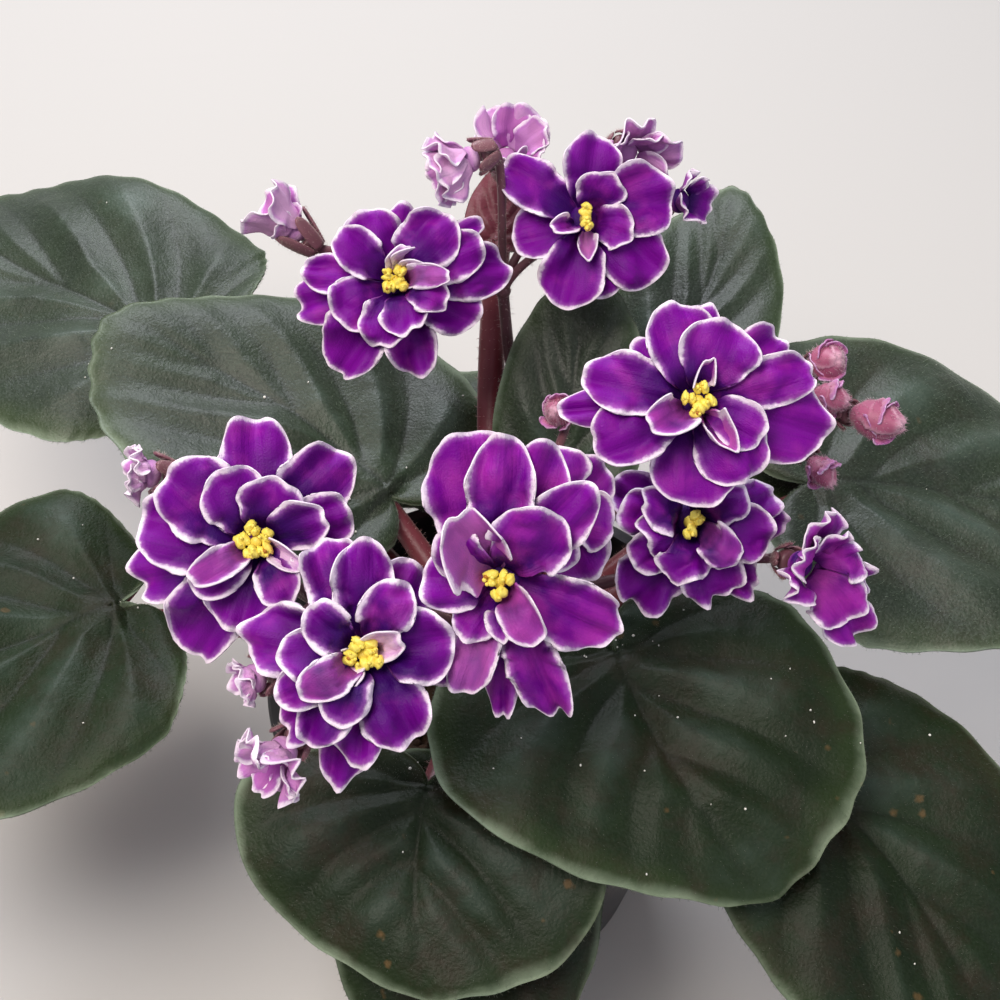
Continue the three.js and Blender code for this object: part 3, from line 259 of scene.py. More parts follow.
BUDS = {
    "bud_right_upper": dict(at=(63.7, 29.1, 140), faces=(30, 50), length=8, width=7.5),
    "bud_right_middle": dict(at=(63, 19.6, 140), faces=(60, 10), length=7, width=6.2),
    "bud_right_outer": dict(at=(71.5, 15.9, 138), faces=(50, 20), length=11, width=8.2),
    "bud_right_low": dict(at=(61, 8.2, 132), faces=(30, -10), length=7, width=5.6),
    "bud_middle": dict(at=(11.9, 17.9, 138), faces=(-30, 40), length=6.4, width=5.6),
}
LOOSE_TIPS = 6  # petal tips that stand off a bud
BUD_HAIRS = 420

# ---------------------------------------------------------------- the flower stalks
# root: where the stalk leaves the crown. route: what it passes on its way to the fork.

SPRAYS = {
    "stalk_back": dict(root=(4, 5), route=[(5.5, 20, 95), (6, 46, 102), (3, 56, 116)],
                       fork=(1.6, 58, 132), carries=[
        "bloom_top", "bloom_nodding_back", "bloom_upper_back", "bloom_back_right",
        "bloom_back_small", "bloom_top_left", "bloom_closed_left"]),
    "stalk_left": dict(root=(-6.5, -1), route=[(-15, -5, 106)], fork=(-32, -16, 124), carries=[
        "bloom_left", "bloom_front_left", "bloom_small_left", "bloom_small_front",
        "bloom_spent_front"]),
    "stalk_centre": dict(root=(0, -6), route=[(-1, -9, 106)], fork=(2, -13, 124), carries=[
        "bloom_centre", "bloom_centre_behind", "bud_middle"]),
    "stalk_right": dict(root=(6.5, 2), route=[(16, 8, 110)], fork=(36, 12, 130), carries=[
        "bloom_right", "bud_right_upper", "bud_right_middle", "bud_right_outer",
        "bud_right_low"]),
    "stalk_right_lower": dict(root=(5, -4.5), route=[(13, -3, 108)], fork=(33, -3, 117), carries=[
        "bloom_right_lower", "bloom_far_right"]),
}
STALK_RADIUS = 1.5
BRANCH_RADIUS = 0.95
SOCKET_DEPTH = 3
CALYX_RADIUS = 3.1
CALYX_LENGTH = 3.6
SEPALS = 5
SEPAL_HAIRS = 60
# How far the sepals of closed and spent blooms reach past the seat.
SEPAL_HUG = {"bloom_closed_left": 4.5, "bloom_nodding_back": 1.5, "bloom_upper_back": 1.5,
             "bloom_small_left": 2, "bloom_small_front": 2, "bloom_spent_front": 2}


# ---------------------------------------------------------------- settings a user may change

class VioletSizes(bpy.types.PropertyGroup):
    """Sizes of the pot and of the fine detail."""

    pot_height: bpy.props.FloatProperty(
        name="Pot height", description="From the flat bottom to the top of the rim",
        default=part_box("pot")[1].z, unit="LENGTH")
    pot_radius: bpy.props.FloatProperty(
        name="Pot radius", description="Outside the band at the rim",
        default=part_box("pot")[1].x, unit="LENGTH")
    pot_base_radius: bpy.props.FloatProperty(
        name="Pot base radius", description="Outside the wall at the bottom",
        default=34 * MM, unit="LENGTH")
    down_length: bpy.props.FloatProperty(
        name="Down length", description="Length of the short hairs on a blade",
        default=1.0 * MM, unit="LENGTH")
    rim_width: bpy.props.FloatProperty(
        name="Petal rim", description="Width of the white rim of a petal",
        default=0.7 * MM, unit="LENGTH")


def colour_setting(name, description, shade):
    """A colour that a user may change, from its sRGB hex value."""
    return bpy.props.FloatVectorProperty(
        name=name, description=description, size=4, min=0, max=1, subtype="COLOR",
        default=linear(shade))


def linear(shade):
    """Linear RGBA from an sRGB hex value such as #3f5233."""
    parts = [int(shade[k:k + 2], 16) / 255 for k in (1, 3, 5)]
    curve = [p / 12.92 if p <= 0.04045 else ((p + 0.055) / 1.055) ** 2.4 for p in parts]
    return (*curve, 1.0)


class VioletColours(bpy.types.PropertyGroup):
    """Colours of the plant and its pot."""

    petal: colour_setting("Petal", "Outer half of a petal's face", "#780690")
    throat: colour_setting("Throat", "Inner half of a petal's face", "#35055c")
    petal_back: colour_setting("Petal back", "The paler back of a petal", "#9a4ea6")
    blush: colour_setting("Blush", "The pink of older petals", "#bb3aa6")
    faded: colour_setting("Faded", "Petals that have lost their colour", "#efc9ec")
    rim: colour_setting("Rim", "The rim of every petal", "#f2e2f3")
    pale_petal: colour_setting("Pale petal", "Half-open and spent petals", "#b96ab4")
    leaf: colour_setting("Leaf", "The upper face of a blade", "#1e3014")
    # Painted sheen: the grey of the hairs on the swellings where they catch the light.
    leaf_ridge_sheen: colour_setting("Leaf ridge", "Swellings between side veins", "#52635a")
    leaf_margin: colour_setting("Leaf margin", "The greener outer zone of a blade", "#3a4d24")
    leaf_rim: colour_setting("Leaf rim", "The pale edge of a blade", "#86957d")
    leaf_under: colour_setting("Leaf underside", "The red lower face of a blade", "#6e2c3a")
    leaf_stalk: colour_setting("Leaf stalk", "The crown and the leaf stalks", "#641f29")
    flower_stalk: colour_setting("Flower stalk", "The thin stalks of the blooms", "#55303a")
    pollen: colour_setting("Pollen", "The pollen sacs", "#fff07a")
    bud: colour_setting("Bud", "The closed buds", "#b0607f")
    pot: colour_setting("Pot", "The moulded pot", "#26262a")
    mix: colour_setting("Potting mix", "Damp peat", "#33251b")


def sizes():
    """The sizes in use, in metres."""
    return bpy.context.scene.violet_sizes


def colours():
    """The colours in use, as linear RGBA."""
    return bpy.context.scene.violet_colours


# ---------------------------------------------------------------- small helpers

def direction(*parts):
    """A vector of length one."""
    vector = np.array(parts, float)
    return vector / np.linalg.norm(vector)


def draws_from(seed):
    """A repeatable stream of numbers from 0 to 1."""
    state = seed * 7919 + 13
    while True:
        state = state * 16807 % 2147483647
        yield state / 2147483647


def smooth(low, high, value):
    """0 below low, 1 above high, and an even curve between them."""
    share = np.clip((value - low) / (high - low), 0, 1)
    return share * share * (3 - 2 * share)


class Shape:
    """Gathers the points, faces and per-point marks of one piece, in millimetres."""

    def __init__(self, *marks):
        self.marks = {name: [] for name in marks}
        self.points = []
        self.faces = []
        self.finishes = []
        self.count = 0

    def add(self, points, faces, finish=0, **marks):
        """Adds points (n, 3) and faces, a list of arrays of 3 or 4 corners."""
        points = np.asarray(points, float)
        self.points.append(points)
        for block in faces:
            self.faces.append(np.asarray(block, int) + self.count)
            self.finishes.append(np.full(len(block), finish))
        for name, values in self.marks.items():
            values.append(np.broadcast_to(marks.get(name, 0.0), len(points)).astype(float))
        self.count += len(points)

    def piece(self, name, materials, replaces=None):
        """Makes the Blender object, riding on the plant's body."""
        mesh = bpy.data.meshes.new(name)
        points = np.concatenate(self.points) * MM
        corners = np.concatenate([block.ravel() for block in self.faces])
        sides = np.concatenate([np.full(len(block), block.shape[1]) for block in self.faces])
        mesh.vertices.add(len(points))
        mesh.vertices.foreach_set("co", points.ravel())
        mesh.loops.add(len(corners))
        mesh.loops.foreach_set("vertex_index", corners)
        mesh.polygons.add(len(sides))
        mesh.polygons.foreach_set("loop_start", np.concatenate([[0], np.cumsum(sides)[:-1]]))
        mesh.polygons.foreach_set("material_index", np.concatenate(self.finishes))
        mesh.polygons.foreach_set("use_smooth", np.ones(len(sides), bool))
        mesh.update(calc_edges=True)
        for mark, values in self.marks.items():
            layer = mesh.attributes.new(mark, "FLOAT", "POINT")
            layer.data.foreach_set("value", np.concatenate(values))
        for material in materials:
            mesh.materials.append(material)
        made = bpy.data.objects.new(name, mesh)
        bpy.context.scene.collection.objects.link(made)
        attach(made, BODY)
        if replaces:
            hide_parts(replaces)
        return made


def point_normals(points, faces):
    """Area-weighted normals of the points of a sheet."""
    normals = np.zeros_like(points)
    for block in faces:
        across = points[block[:, 2]] - points[block[:, 0]]
        other = points[block[:, -1]] - points[block[:, 1]]
        area = np.cross(across, other) if block.shape[1] == 4 else np.cross(
            points[block[:, 1]] - points[block[:, 0]], across)
        for corner in block.T:
            np.add.at(normals, corner, area)
    return normals / np.maximum(np.linalg.norm(normals, axis=1, keepdims=True), 1e-9)


def thickened(points, faces, border, thickness):
    """A closed shape from a sheet: an upper and a lower copy joined along the border."""
    normals = point_normals(points, faces)
    half = np.broadcast_to(thickness, len(points))[:, None] / 2
    under = len(points)
    following = np.roll(border, -1)
    side = np.stack([border, border + under, following + under, following], axis=1)
    lower = [block[:, ::-1] + under for block in faces]
    return np.concatenate([points + normals * half, points - normals * half]), [
        *faces, *lower, side], normals


def grid_faces(rows, columns, around=False):
    """Quads of a grid of points; around closes it along its columns."""
    row, column = np.meshgrid(np.arange(rows - 1), np.arange(columns - (not around)), indexing="ij")
    following = (column + 1) % columns
    a = row * columns + column
    b = row * columns + following
    return np.stack([a, a + columns, b + columns, b], axis=-1).reshape(-1, 4)


def grid_border(rows, columns):
    """The points round a grid, in the order that keeps the sides facing out."""
    first = np.arange(columns)
    right = np.arange(1, rows) * columns + columns - 1
    last = (rows - 1) * columns + np.arange(columns - 2, -1, -1)
    left = np.arange(rows - 2, 0, -1) * columns
    return np.concatenate([first, right, last, left])[::-1]


def closed_rings(rings, foot, tip):
    """A closed shape from rings of points (rows, sides, 3), with one more point at each end."""
    rows, sides = rings.shape[:2]
    points = np.concatenate([rings.reshape(-1, 3), [foot, tip]])
    first = np.arange(sides)
    following = np.roll(first, -1)
    last = (rows - 1) * sides
    foot, tip = len(points) - 2, len(points) - 1
    caps = np.concatenate([
        np.stack([np.full(sides, foot), following, first], axis=1),
        np.stack([np.full(sides, tip), last + first, last + following], axis=1)])
    return points, [grid_faces(rows, sides, around=True)[:, ::-1], caps]


def circles(radii, heights, sides):
    """Rings of points round the upright axis, from arrays of one row for each ring."""
    turn = np.linspace(0, 2 * math.pi, sides, endpoint=False)[None]
    return np.stack([radii * np.cos(turn), radii * np.sin(turn), heights + 0 * turn], axis=-1)


def tube(path, radii, sides):
    """A closed bar along a path, whose section turns as little as it can, and its spokes."""
    path = np.asarray(path, float)
    ahead = np.gradient(path, axis=0)
    ahead /= np.linalg.norm(ahead, axis=1, keepdims=True)
    side = np.cross(ahead[0], UP if abs(ahead[0] @ UP) < 0.9 else np.array([1.0, 0, 0]))
    normals = []
    for forward in ahead:
        side = side - forward * (side @ forward)
        side = side / np.linalg.norm(side)
        normals.append(side)
    normals = np.array(normals)
    others = np.cross(ahead, normals)
    turn = np.linspace(0, 2 * math.pi, sides, endpoint=False)
    radii = np.broadcast_to(radii, len(path))[:, None, None]
    spokes = (normals[:, None] * np.cos(turn)[None, :, None]
              + others[:, None] * np.sin(turn)[None, :, None])
    points, faces = closed_rings(path[:, None] + radii * spokes, path[0], path[-1])
    return points, faces, spokes.reshape(-1, 3)


def bezier(a, b, c, d, steps):
    """Points of a cubic curve."""
    t = np.linspace(0, 1, steps)[:, None]
    return (1 - t) ** 3 * a + 3 * (1 - t) ** 2 * t * b + 3 * (1 - t) * t * t * c + t ** 3 * d


def through(points, steps):
    """Points of a centripetal Catmull-Rom curve through the given ones."""
    points = np.asarray(points, float)
    ends = np.concatenate([[2 * points[0] - points[1]], points, [2 * points[-1] - points[-2]]])
    curve = []
    for k in range(len(points) - 1):
        p0, p1, p2, p3 = ends[k:k + 4]
        d0, d1, d2 = (np.linalg.norm(b - a) ** 0.5 for a, b in ((p0, p1), (p1, p2), (p2, p3)))
        leave = ((p1 - p0) / d0 - (p2 - p0) / (d0 + d1) + (p2 - p1) / d1) * d1
        arrive = ((p2 - p1) / d1 - (p3 - p1) / (d1 + d2) + (p3 - p2) / d2) * d1
        t = np.linspace(0, 1, steps, endpoint=k == len(points) - 2)[:, None]
        curve.append(p1 + leave * t + (3 * p2 - 3 * p1 - 2 * leave - arrive) * t * t
                     + (2 * p1 - 2 * p2 + leave + arrive) * t ** 3)
    return np.concatenate(curve)


def ball(rings, sides):
    """A unit ball: its points and faces."""
    rise = np.linspace(-math.pi / 2, math.pi / 2, rings + 2)[1:-1, None]
    return closed_rings(circles(np.cos(rise), np.sin(rise), sides), (0, 0, -1), (0, 0, 1))


def turned(profile, sides):
    """A closed turned shape from [radius, height] pairs that start and end on the axis."""
    rings = np.array(profile[1:-1], float)
    return closed_rings(circles(rings[:, :1], rings[:, 1:], sides),
                        (0, 0, profile[0][1]), (0, 0, profile[-1][1]))


def hairs(shape, roots, ways, lengths, radius, finish, **marks):
    """Adds thin three-sided hairs that stand on the given points."""
    ways = ways / np.linalg.norm(ways, axis=1, keepdims=True)
    side = np.cross(ways, np.where(np.abs(ways[:, 2:]) < 0.9, UP, np.array([1.0, 0, 0])))
    side /= np.linalg.norm(side, axis=1, keepdims=True)
    other = np.cross(ways, side)
    corners = [roots + radius * (math.cos(a) * side + math.sin(a) * other)
               for a in (0, 2 * math.pi / 3, 4 * math.pi / 3)]
    tips = roots + ways * np.broadcast_to(lengths, len(roots))[:, None]
    points = np.stack([*corners, tips], axis=1).reshape(-1, 3)
    k = np.arange(len(roots))[:, None] * 4
    faces = np.concatenate([k + [0, 1, 3], k + [1, 2, 3], k + [2, 0, 3], k + [0, 2, 1]])
    shape.add(points, [faces], finish, **marks)


# ---------------------------------------------------------------- materials

NOISE = "ShaderNodeTexNoise"
CELLS = "ShaderNodeTexVoronoi"
MATH = "ShaderNodeMath"
RANGE = "ShaderNodeMapRange"
MIX = "ShaderNodeMix"
MIX_FACTOR, MIX_A, MIX_B, MIX_RESULT = 0, 6, 7, 2  # sockets of a colour mix
# The output that is read of these kinds of node; of the others it is the first.
OUTPUTS = {MIX: MIX_RESULT, "ShaderNodeTexCoord": "Object", "ShaderNodeAttribute": "Fac"}
LEAF_MARKS = ("rim", "vein", "swell", "under", "age")
PETAL_MARKS = ("rim", "along", "aside", "back", "tone", "blush", "fade")


def add_node(tree, kind, inputs=None, **settings):
    """Adds a node with its settings, sets or links its inputs, and gives its output."""
    made = tree.nodes.new(kind)
    for name, value in settings.items():
        setattr(made, name, value)
    for socket, value in (inputs or {}).items():
        if isinstance(value, bpy.types.NodeSocket):
            tree.links.new(value, made.inputs[socket])
        else:
            made.inputs[socket].default_value = value
    return made.outputs[OUTPUTS.get(kind, 0)] if len(made.outputs) else None


def new_finish(name, marks=()):
    """A new material, its tree, the place that its patterns read, and marks of the mesh."""
    material = bpy.data.materials.new(name)
    material.use_nodes = True
    tree = material.node_tree
    tree.nodes.clear()
    place = add_node(tree, "ShaderNodeTexCoord")
    read = {mark: add_node(tree, "ShaderNodeAttribute", attribute_name=mark) for mark in marks}
    return material, tree, place, read


def finished(material, base, layers, relief, shader):
    """Ends a material: colours laid over a base, fine relief, and the shader.

    layers: how much of each colour is laid on, and the colour. relief: a pattern of heights,
    its depth in millimetres and its strength. shader: values that are the same all over.
    """
    tree = material.node_tree
    for factor, shade in layers:
        base = add_node(tree, MIX, {MIX_FACTOR: factor, MIX_A: base, MIX_B: shade},
                        data_type="RGBA")
    inputs = {"Base Color": base}
    if relief:
        height, depth, strength = relief
        inputs["Normal"] = add_node(tree, "ShaderNodeBump", {
            "Height": height, "Distance": depth * MM, "Strength": strength})
    surface = add_node(tree, "ShaderNodeBsdfPrincipled", inputs | shader)
    add_node(tree, "ShaderNodeOutputMaterial", {"Surface": surface})
    return material


def per_metre(size_mm):
    """A texture's scale, from the size in millimetres of one of its features."""
    return 1000 / size_mm


def pot_finish():
    """Polypropylene, injection moulded: satin, with a fine grain and a little dust."""
    material, tree, place, _ = new_finish("moulded_polypropylene")
    dust = add_node(tree, NOISE, {
        "Vector": place, "Scale": per_metre(18), "Detail": 6.0, "Roughness": 0.7})
    settled = add_node(tree, RANGE, {
        "Value": dust, "From Min": 0.5, "From Max": 0.8, "To Max": 0.3})
    grain = add_node(tree, NOISE, {"Vector": place, "Scale": per_metre(0.9), "Detail": 3.0})
    return finished(material, colours().pot, [(settled, linear("#6c655c"))],
                    (grain, 0.12, 0.6), {"Roughness": 0.42, "IOR": 1.49})


def mix_finish():
    """Damp milled peat: dark, crumbly and without any gloss."""
    material, tree, place, _ = new_finish("damp_peat")
    crumbs = add_node(tree, NOISE, {
        "Vector": place, "Scale": per_metre(3), "Detail": 8.0, "Roughness": 0.75})
    light = add_node(tree, RANGE, {"Value": crumbs, "From Min": 0.4, "From Max": 0.75})
    return finished(material, colours().mix, [(light, linear("#5f4632"))],
                    (crumbs, 0.8, 0.9), {"Roughness": 0.96})


def leaf_finish(name, gloss, sheen, frost):
    """Living leaf with a coat of short hairs: dull green, greyer where the hairs catch light."""
    material, tree, place, marks = new_finish(name, LEAF_MARKS)
    cloud = add_node(tree, NOISE, {
        "Vector": place, "Scale": per_metre(22), "Detail": 4.0, "Roughness": 0.6})
    patch = add_node(tree, RANGE, {"Value": cloud, "From Min": 0.35, "From Max": 0.65})
    # Painted sheen: the swellings are drawn greyer where the hairs catch the light, in soft patches
    # about 22 mm across.
    coat = add_node(tree, MATH, {0: cloud, 1: 2.6, 2: marks["swell"]}, operation="MULTIPLY_ADD")
    painted_sheen = add_node(tree, RANGE, {
        "Value": coat, "From Min": 1.45, "From Max": 2.7, "To Max": 0.9},
        interpolation_type="SMOOTHSTEP")
    # The green is fresher near the edge, up to 10 mm inwards, in patches.
    outside = add_node(tree, MATH, {0: patch, 1: 5.0, 2: marks["rim"]},
                       operation="MULTIPLY_ADD")
    fresh = add_node(tree, RANGE, {
        "Value": outside, "From Min": 2.0, "From Max": 10.0, "To Min": 0.6, "To Max": 0.0},
        interpolation_type="SMOOTHSTEP")
    # Painted shade: the grooves of the side veins and the midrib are drawn darker.
    sunk = add_node(tree, MATH, {0: marks["vein"], 1: 0.7}, operation="MULTIPLY")
    # Old leaves are darker all over, partly with age and partly as painted shade on the front
    # leaves, which tip away from the light; they are also brown in soft blotches of about 13 mm.
    age_and_painted_shade = add_node(tree, MATH, {0: marks["age"], 1: 0.66}, operation="MULTIPLY")
    blotch = add_node(tree, NOISE, {
        "Vector": place, "Scale": per_metre(13), "Detail": 5.0, "Roughness": 0.65})
    browned = add_node(tree, RANGE, {
        "Value": blotch, "From Min": 0.47, "From Max": 0.7, "To Max": 0.8})
    worn = add_node(tree, MATH, {0: browned, 1: marks["age"]}, operation="MULTIPLY")
    # Tan flecks, mostly under 2 mm across, lie about 7 mm apart on them.
    scatter = add_node(tree, CELLS, {"Vector": place, "Scale": per_metre(7), "Randomness": 1.0})
    near = add_node(tree, MATH, {0: blotch, 1: 1.1, 2: scatter}, operation="MULTIPLY_ADD")
    tan = add_node(tree, RANGE, {
        "Value": near, "From Min": 0.5, "From Max": 0.6, "To Min": 0.6, "To Max": 0.0})
    flecked = add_node(tree, MATH, {0: tan, 1: marks["age"]}, operation="MULTIPLY")
    # The pale rim is about 1 to 3 mm wide, and comes and goes along the edge.
    wander = add_node(tree, MATH, {0: cloud, 1: 7.0, 2: marks["rim"]}, operation="MULTIPLY_ADD")
    edge = add_node(tree, RANGE, {
        "Value": wander, "From Min": 2.2, "From Max": 5.7, "To Min": 0.75, "To Max": 0.0},
        interpolation_type="SMOOTHSTEP")
    # Fine down, drawn as flecks of about half a millimetre so that it shows.
    fleck = add_node(tree, NOISE, {"Vector": place, "Scale": per_metre(0.55), "Detail": 2.0})
    down = add_node(tree, RANGE, {
        "Value": fleck, "From Min": 0.4, "From Max": 0.8, "To Max": frost})
    # The skin is pebbled, and soft dents of about 5 mm in the coat break up its sheen.
    pebble = add_node(tree, CELLS, {"Vector": place, "Scale": per_metre(1.5)},
                      feature="SMOOTH_F1")
    height = add_node(tree, MATH, {0: pebble, 1: -0.5, 2: fleck}, operation="MULTIPLY_ADD")
    dents = add_node(tree, NOISE, {
        "Vector": place, "Scale": per_metre(5), "Detail": 3.0, "Roughness": 0.6})
    uneven = add_node(tree, MATH, {0: dents, 1: 2.5, 2: height}, operation="MULTIPLY_ADD")
    shades = colours()
    layers = [
        (patch, shades.leaf), (painted_sheen, shades.leaf_ridge_sheen), (fresh, shades.leaf_margin),
        (sunk, linear("#10180c")), (age_and_painted_shade, linear("#111b0a")), (worn, linear("#2c1f16")),
        (flecked, linear("#6e5230")), (edge, shades.leaf_rim), (down, linear("#667264")),
        (marks["under"], shades.leaf_under)]
    return finished(material, linear("#162411"), layers, (uneven, 0.14, 0.9), {
        "Roughness": 0.5, "Sheen Weight": sheen, "Sheen Roughness": 0.36,
        "Sheen Tint": linear("#c9d6cc"), "Specular IOR Level": gloss})


def down_finish(name, shade, darker):
    """Short plant hairs, or the dust among them: dry, with a soft shine."""
    material, tree, place, _ = new_finish(name)
    change = add_node(tree, NOISE, {"Vector": place, "Scale": per_metre(4)})
    return finished(material, linear(shade), [(change, linear(darker))], None,
                    {"Roughness": 0.5, "Sheen Weight": 0.2})


def petal_finish(name, throat, blade, back):
    """Petal tissue: soft, full of colour, with domed cells that glitter a little."""
    material, tree, place, marks = new_finish(name, PETAL_MARKS)
    cloud = add_node(tree, NOISE, {"Vector": place, "Scale": per_metre(5), "Detail": 3.0})
    shift = add_node(tree, MATH, {0: cloud, 1: 0.5, 2: marks["along"]}, operation="MULTIPLY_ADD")
    toned = add_node(tree, MATH, {0: marks["tone"], 1: 0.4, 2: shift}, operation="MULTIPLY_ADD")
    outer = add_node(tree, RANGE, {"Value": toned, "From Min": 0.25, "From Max": 1.05},
                     interpolation_type="SMOOTHSTEP")
    # Pink comes through in clouds on the older petals.
    cloudy = add_node(tree, MATH, {0: cloud, 1: 1.1, 2: marks["blush"]},
                      operation="MULTIPLY_ADD")
    pinked = add_node(tree, RANGE, {
        "Value": cloudy, "From Min": 0.6, "From Max": 1.3, "To Max": 0.8})
    # Veins run from root to tip, about half a millimetre apart.
    spread = add_node(tree, "ShaderNodeCombineXYZ", {
        "X": marks["aside"], "Y": marks["along"], "Z": marks["tone"]})
    squeezed = add_node(tree, "ShaderNodeMapping", {
        "Vector": spread, "Scale": (7.0, 0.8, 40.0)})
    streak = add_node(tree, NOISE, {"Vector": squeezed, "Scale": 1.6, "Detail": 3.0})
    veined = add_node(tree, RANGE, {
        "Value": streak, "From Min": 0.5, "From Max": 0.75, "To Max": 0.18})
    turned_away = add_node(tree, MATH, {0: marks["back"], 1: 0.8}, operation="MULTIPLY")
    # The rim's inner border wanders by a few tenths of a millimetre, and lilac lies inside it.
    fray = add_node(tree, NOISE, {
        "Vector": place, "Scale": per_metre(1.4), "Detail": 3.0, "Roughness": 0.65})
    wander = add_node(tree, MATH, {0: fray, 1: 1.1, 2: marks["rim"]}, operation="MULTIPLY_ADD")
    width = sizes().rim_width / MM + 0.35
    halo = add_node(tree, RANGE, {
        "Value": wander, "From Min": width, "From Max": width + 1.3, "To Min": 0.5,
        "To Max": 0.0}, interpolation_type="SMOOTHSTEP")
    white = add_node(tree, RANGE, {
        "Value": wander, "From Min": width - 0.3, "From Max": width + 0.45, "To Min": 1.0,
        "To Max": 0.0}, interpolation_type="SMOOTHSTEP")
    # Domed cells, drawn several times life size so that they show.
    cells = add_node(tree, CELLS, {"Vector": place, "Scale": per_metre(0.3)})
    height = add_node(tree, MATH, {0: streak, 1: 2.5, 2: cells}, operation="MULTIPLY_ADD")
    layers = [
        (outer, blade), (pinked, colours().blush), (veined, throat), (turned_away, back),
        (marks["fade"], colours().faded), (halo, linear("#b56cc4")), (white, colours().rim)]
    return finished(material, throat, layers, (height, 0.1, 0.6), {
        "Roughness": 0.5, "Specular IOR Level": 0.14})


def pollen_finish():
    """Ripe pollen sacs: waxy yellow skin with fine grains."""
    material, tree, place, marks = new_finish("pollen_sac", ["slit"])
    grains = add_node(tree, NOISE, {"Vector": place, "Scale": per_metre(0.5)})
    layers = [(grains, colours().pollen), (marks["slit"], linear("#b8741c"))]
    return finished(material, linear("#f5dc48"), layers, (grains, 0.1, 0.6),
                    {"Roughness": 0.45})


def stalk_finish(name, shade, tip):
    """Juicy stalk under a thin skin: half glossy, paler towards its tip."""
    material, tree, place, marks = new_finish(name, ["along"])
    change = add_node(tree, NOISE, {"Vector": place, "Scale": per_metre(6), "Detail": 4.0})
    moved = add_node(tree, MATH, {0: change, 1: 0.8, 2: marks["along"]},
                     operation="MULTIPLY_ADD")
    paled = add_node(tree, RANGE, {"Value": moved, "From Min": 0.6, "From Max": 1.7})
    fine = add_node(tree, NOISE, {"Vector": place, "Scale": per_metre(0.7)})
    return finished(material, shade, [(paled, linear(tip))], (fine, 0.12, 0.6), {
        "Roughness": 0.42, "Sheen Weight": 0.25, "Sheen Roughness": 0.4,
        "Sheen Tint": linear("#e3c7c4")})


def bud_finish():
    """Closed petals: pink, downy, whitish where their rims show."""
    material, tree, place, marks = new_finish("closed_bud", ["rim"])
    cloud = add_node(tree, NOISE, {"Vector": place, "Scale": per_metre(2.5), "Detail": 4.0})
    layers = [(cloud, colours().bud), (marks["rim"], linear("#e9c4d6"))]
    return finished(material, linear("#8f3f63"), layers, (cloud, 0.15, 0.5), {
        "Roughness": 0.5, "Sheen Weight": 0.35, "Sheen Roughness": 0.4})


# ---------------------------------------------------------------- pot and potting mix

def pot_inner_radius(height):
    """The inner radius of the pot's wall at a height above its bottom."""
    share = height * MM / sizes().pot_height
    top = sizes().pot_radius / MM - POT_BAND_STEP
    base = sizes().pot_base_radius / MM
    return base + (top - base) * share - POT_WALL


class VIOLET_OT_pot(bpy.types.Operator):
    """Builds the moulded pot with its banded rim and drain holes"""

    bl_idname = "violet.pot"
    bl_label = "Pot"

    def execute(self, context):
        height = sizes().pot_height / MM
        rim = sizes().pot_radius / MM
        base = sizes().pot_base_radius / MM
        band_foot = height - POT_BAND_HEIGHT
        at_band = pot_inner_radius(band_foot) + POT_WALL
        mouth = pot_inner_radius(height)
        # Under the floor, up the wall, round the band and its rim, and down the inside.
        profile = [
            (0, RECESS_DEPTH), (RECESS_RADIUS - 1, RECESS_DEPTH), (RECESS_RADIUS, 0),
            (base - 1.4, 0), (base - 0.5, 0.2), (base, 0.9),
            (at_band, band_foot - 1.2), (at_band + 0.2, band_foot - 0.6),
            (rim - 1.1, band_foot - 0.3), (rim - 0.5, band_foot + 0.1),
            (rim - 0.2, band_foot + 0.7), (rim, height - 1), (rim - 0.15, height - 0.4),
            (rim - 0.6, height), (mouth + 0.4, height),
            (mouth, height - 0.5), (pot_inner_radius(POT_FLOOR), POT_FLOOR), (0, POT_FLOOR)]
        shape = Shape()
        shape.add(*turned(profile, POT_SIDES))
        made = shape.piece("pot_moulded", [pot_finish()], "pot")
        for k in range(DRAIN_HOLES):
            turn = 2 * math.pi * k / DRAIN_HOLES
            bpy.ops.mesh.primitive_cylinder_add(
                vertices=DRAIN_SIDES, radius=DRAIN_RADIUS * MM, depth=4 * POT_FLOOR * MM,
                location=(DRAIN_CIRCLE_RADIUS * MM * math.cos(turn),
                          DRAIN_CIRCLE_RADIUS * MM * math.sin(turn), 0))
            drill = bpy.context.object
            cut = made.modifiers.new("drain hole", "BOOLEAN")
            cut.object = drill
            cut.solver = "EXACT"
            bpy.context.view_layer.objects.active = made
            bpy.ops.object.modifier_apply(modifier=cut.name)
            bpy.data.objects.remove(drill)
        made.data.polygons.foreach_set("use_smooth", [True] * len(made.data.polygons))
        made.data.set_sharp_from_angle(angle=math.radians(SHARPEST_CURVE))
        return {"FINISHED"}


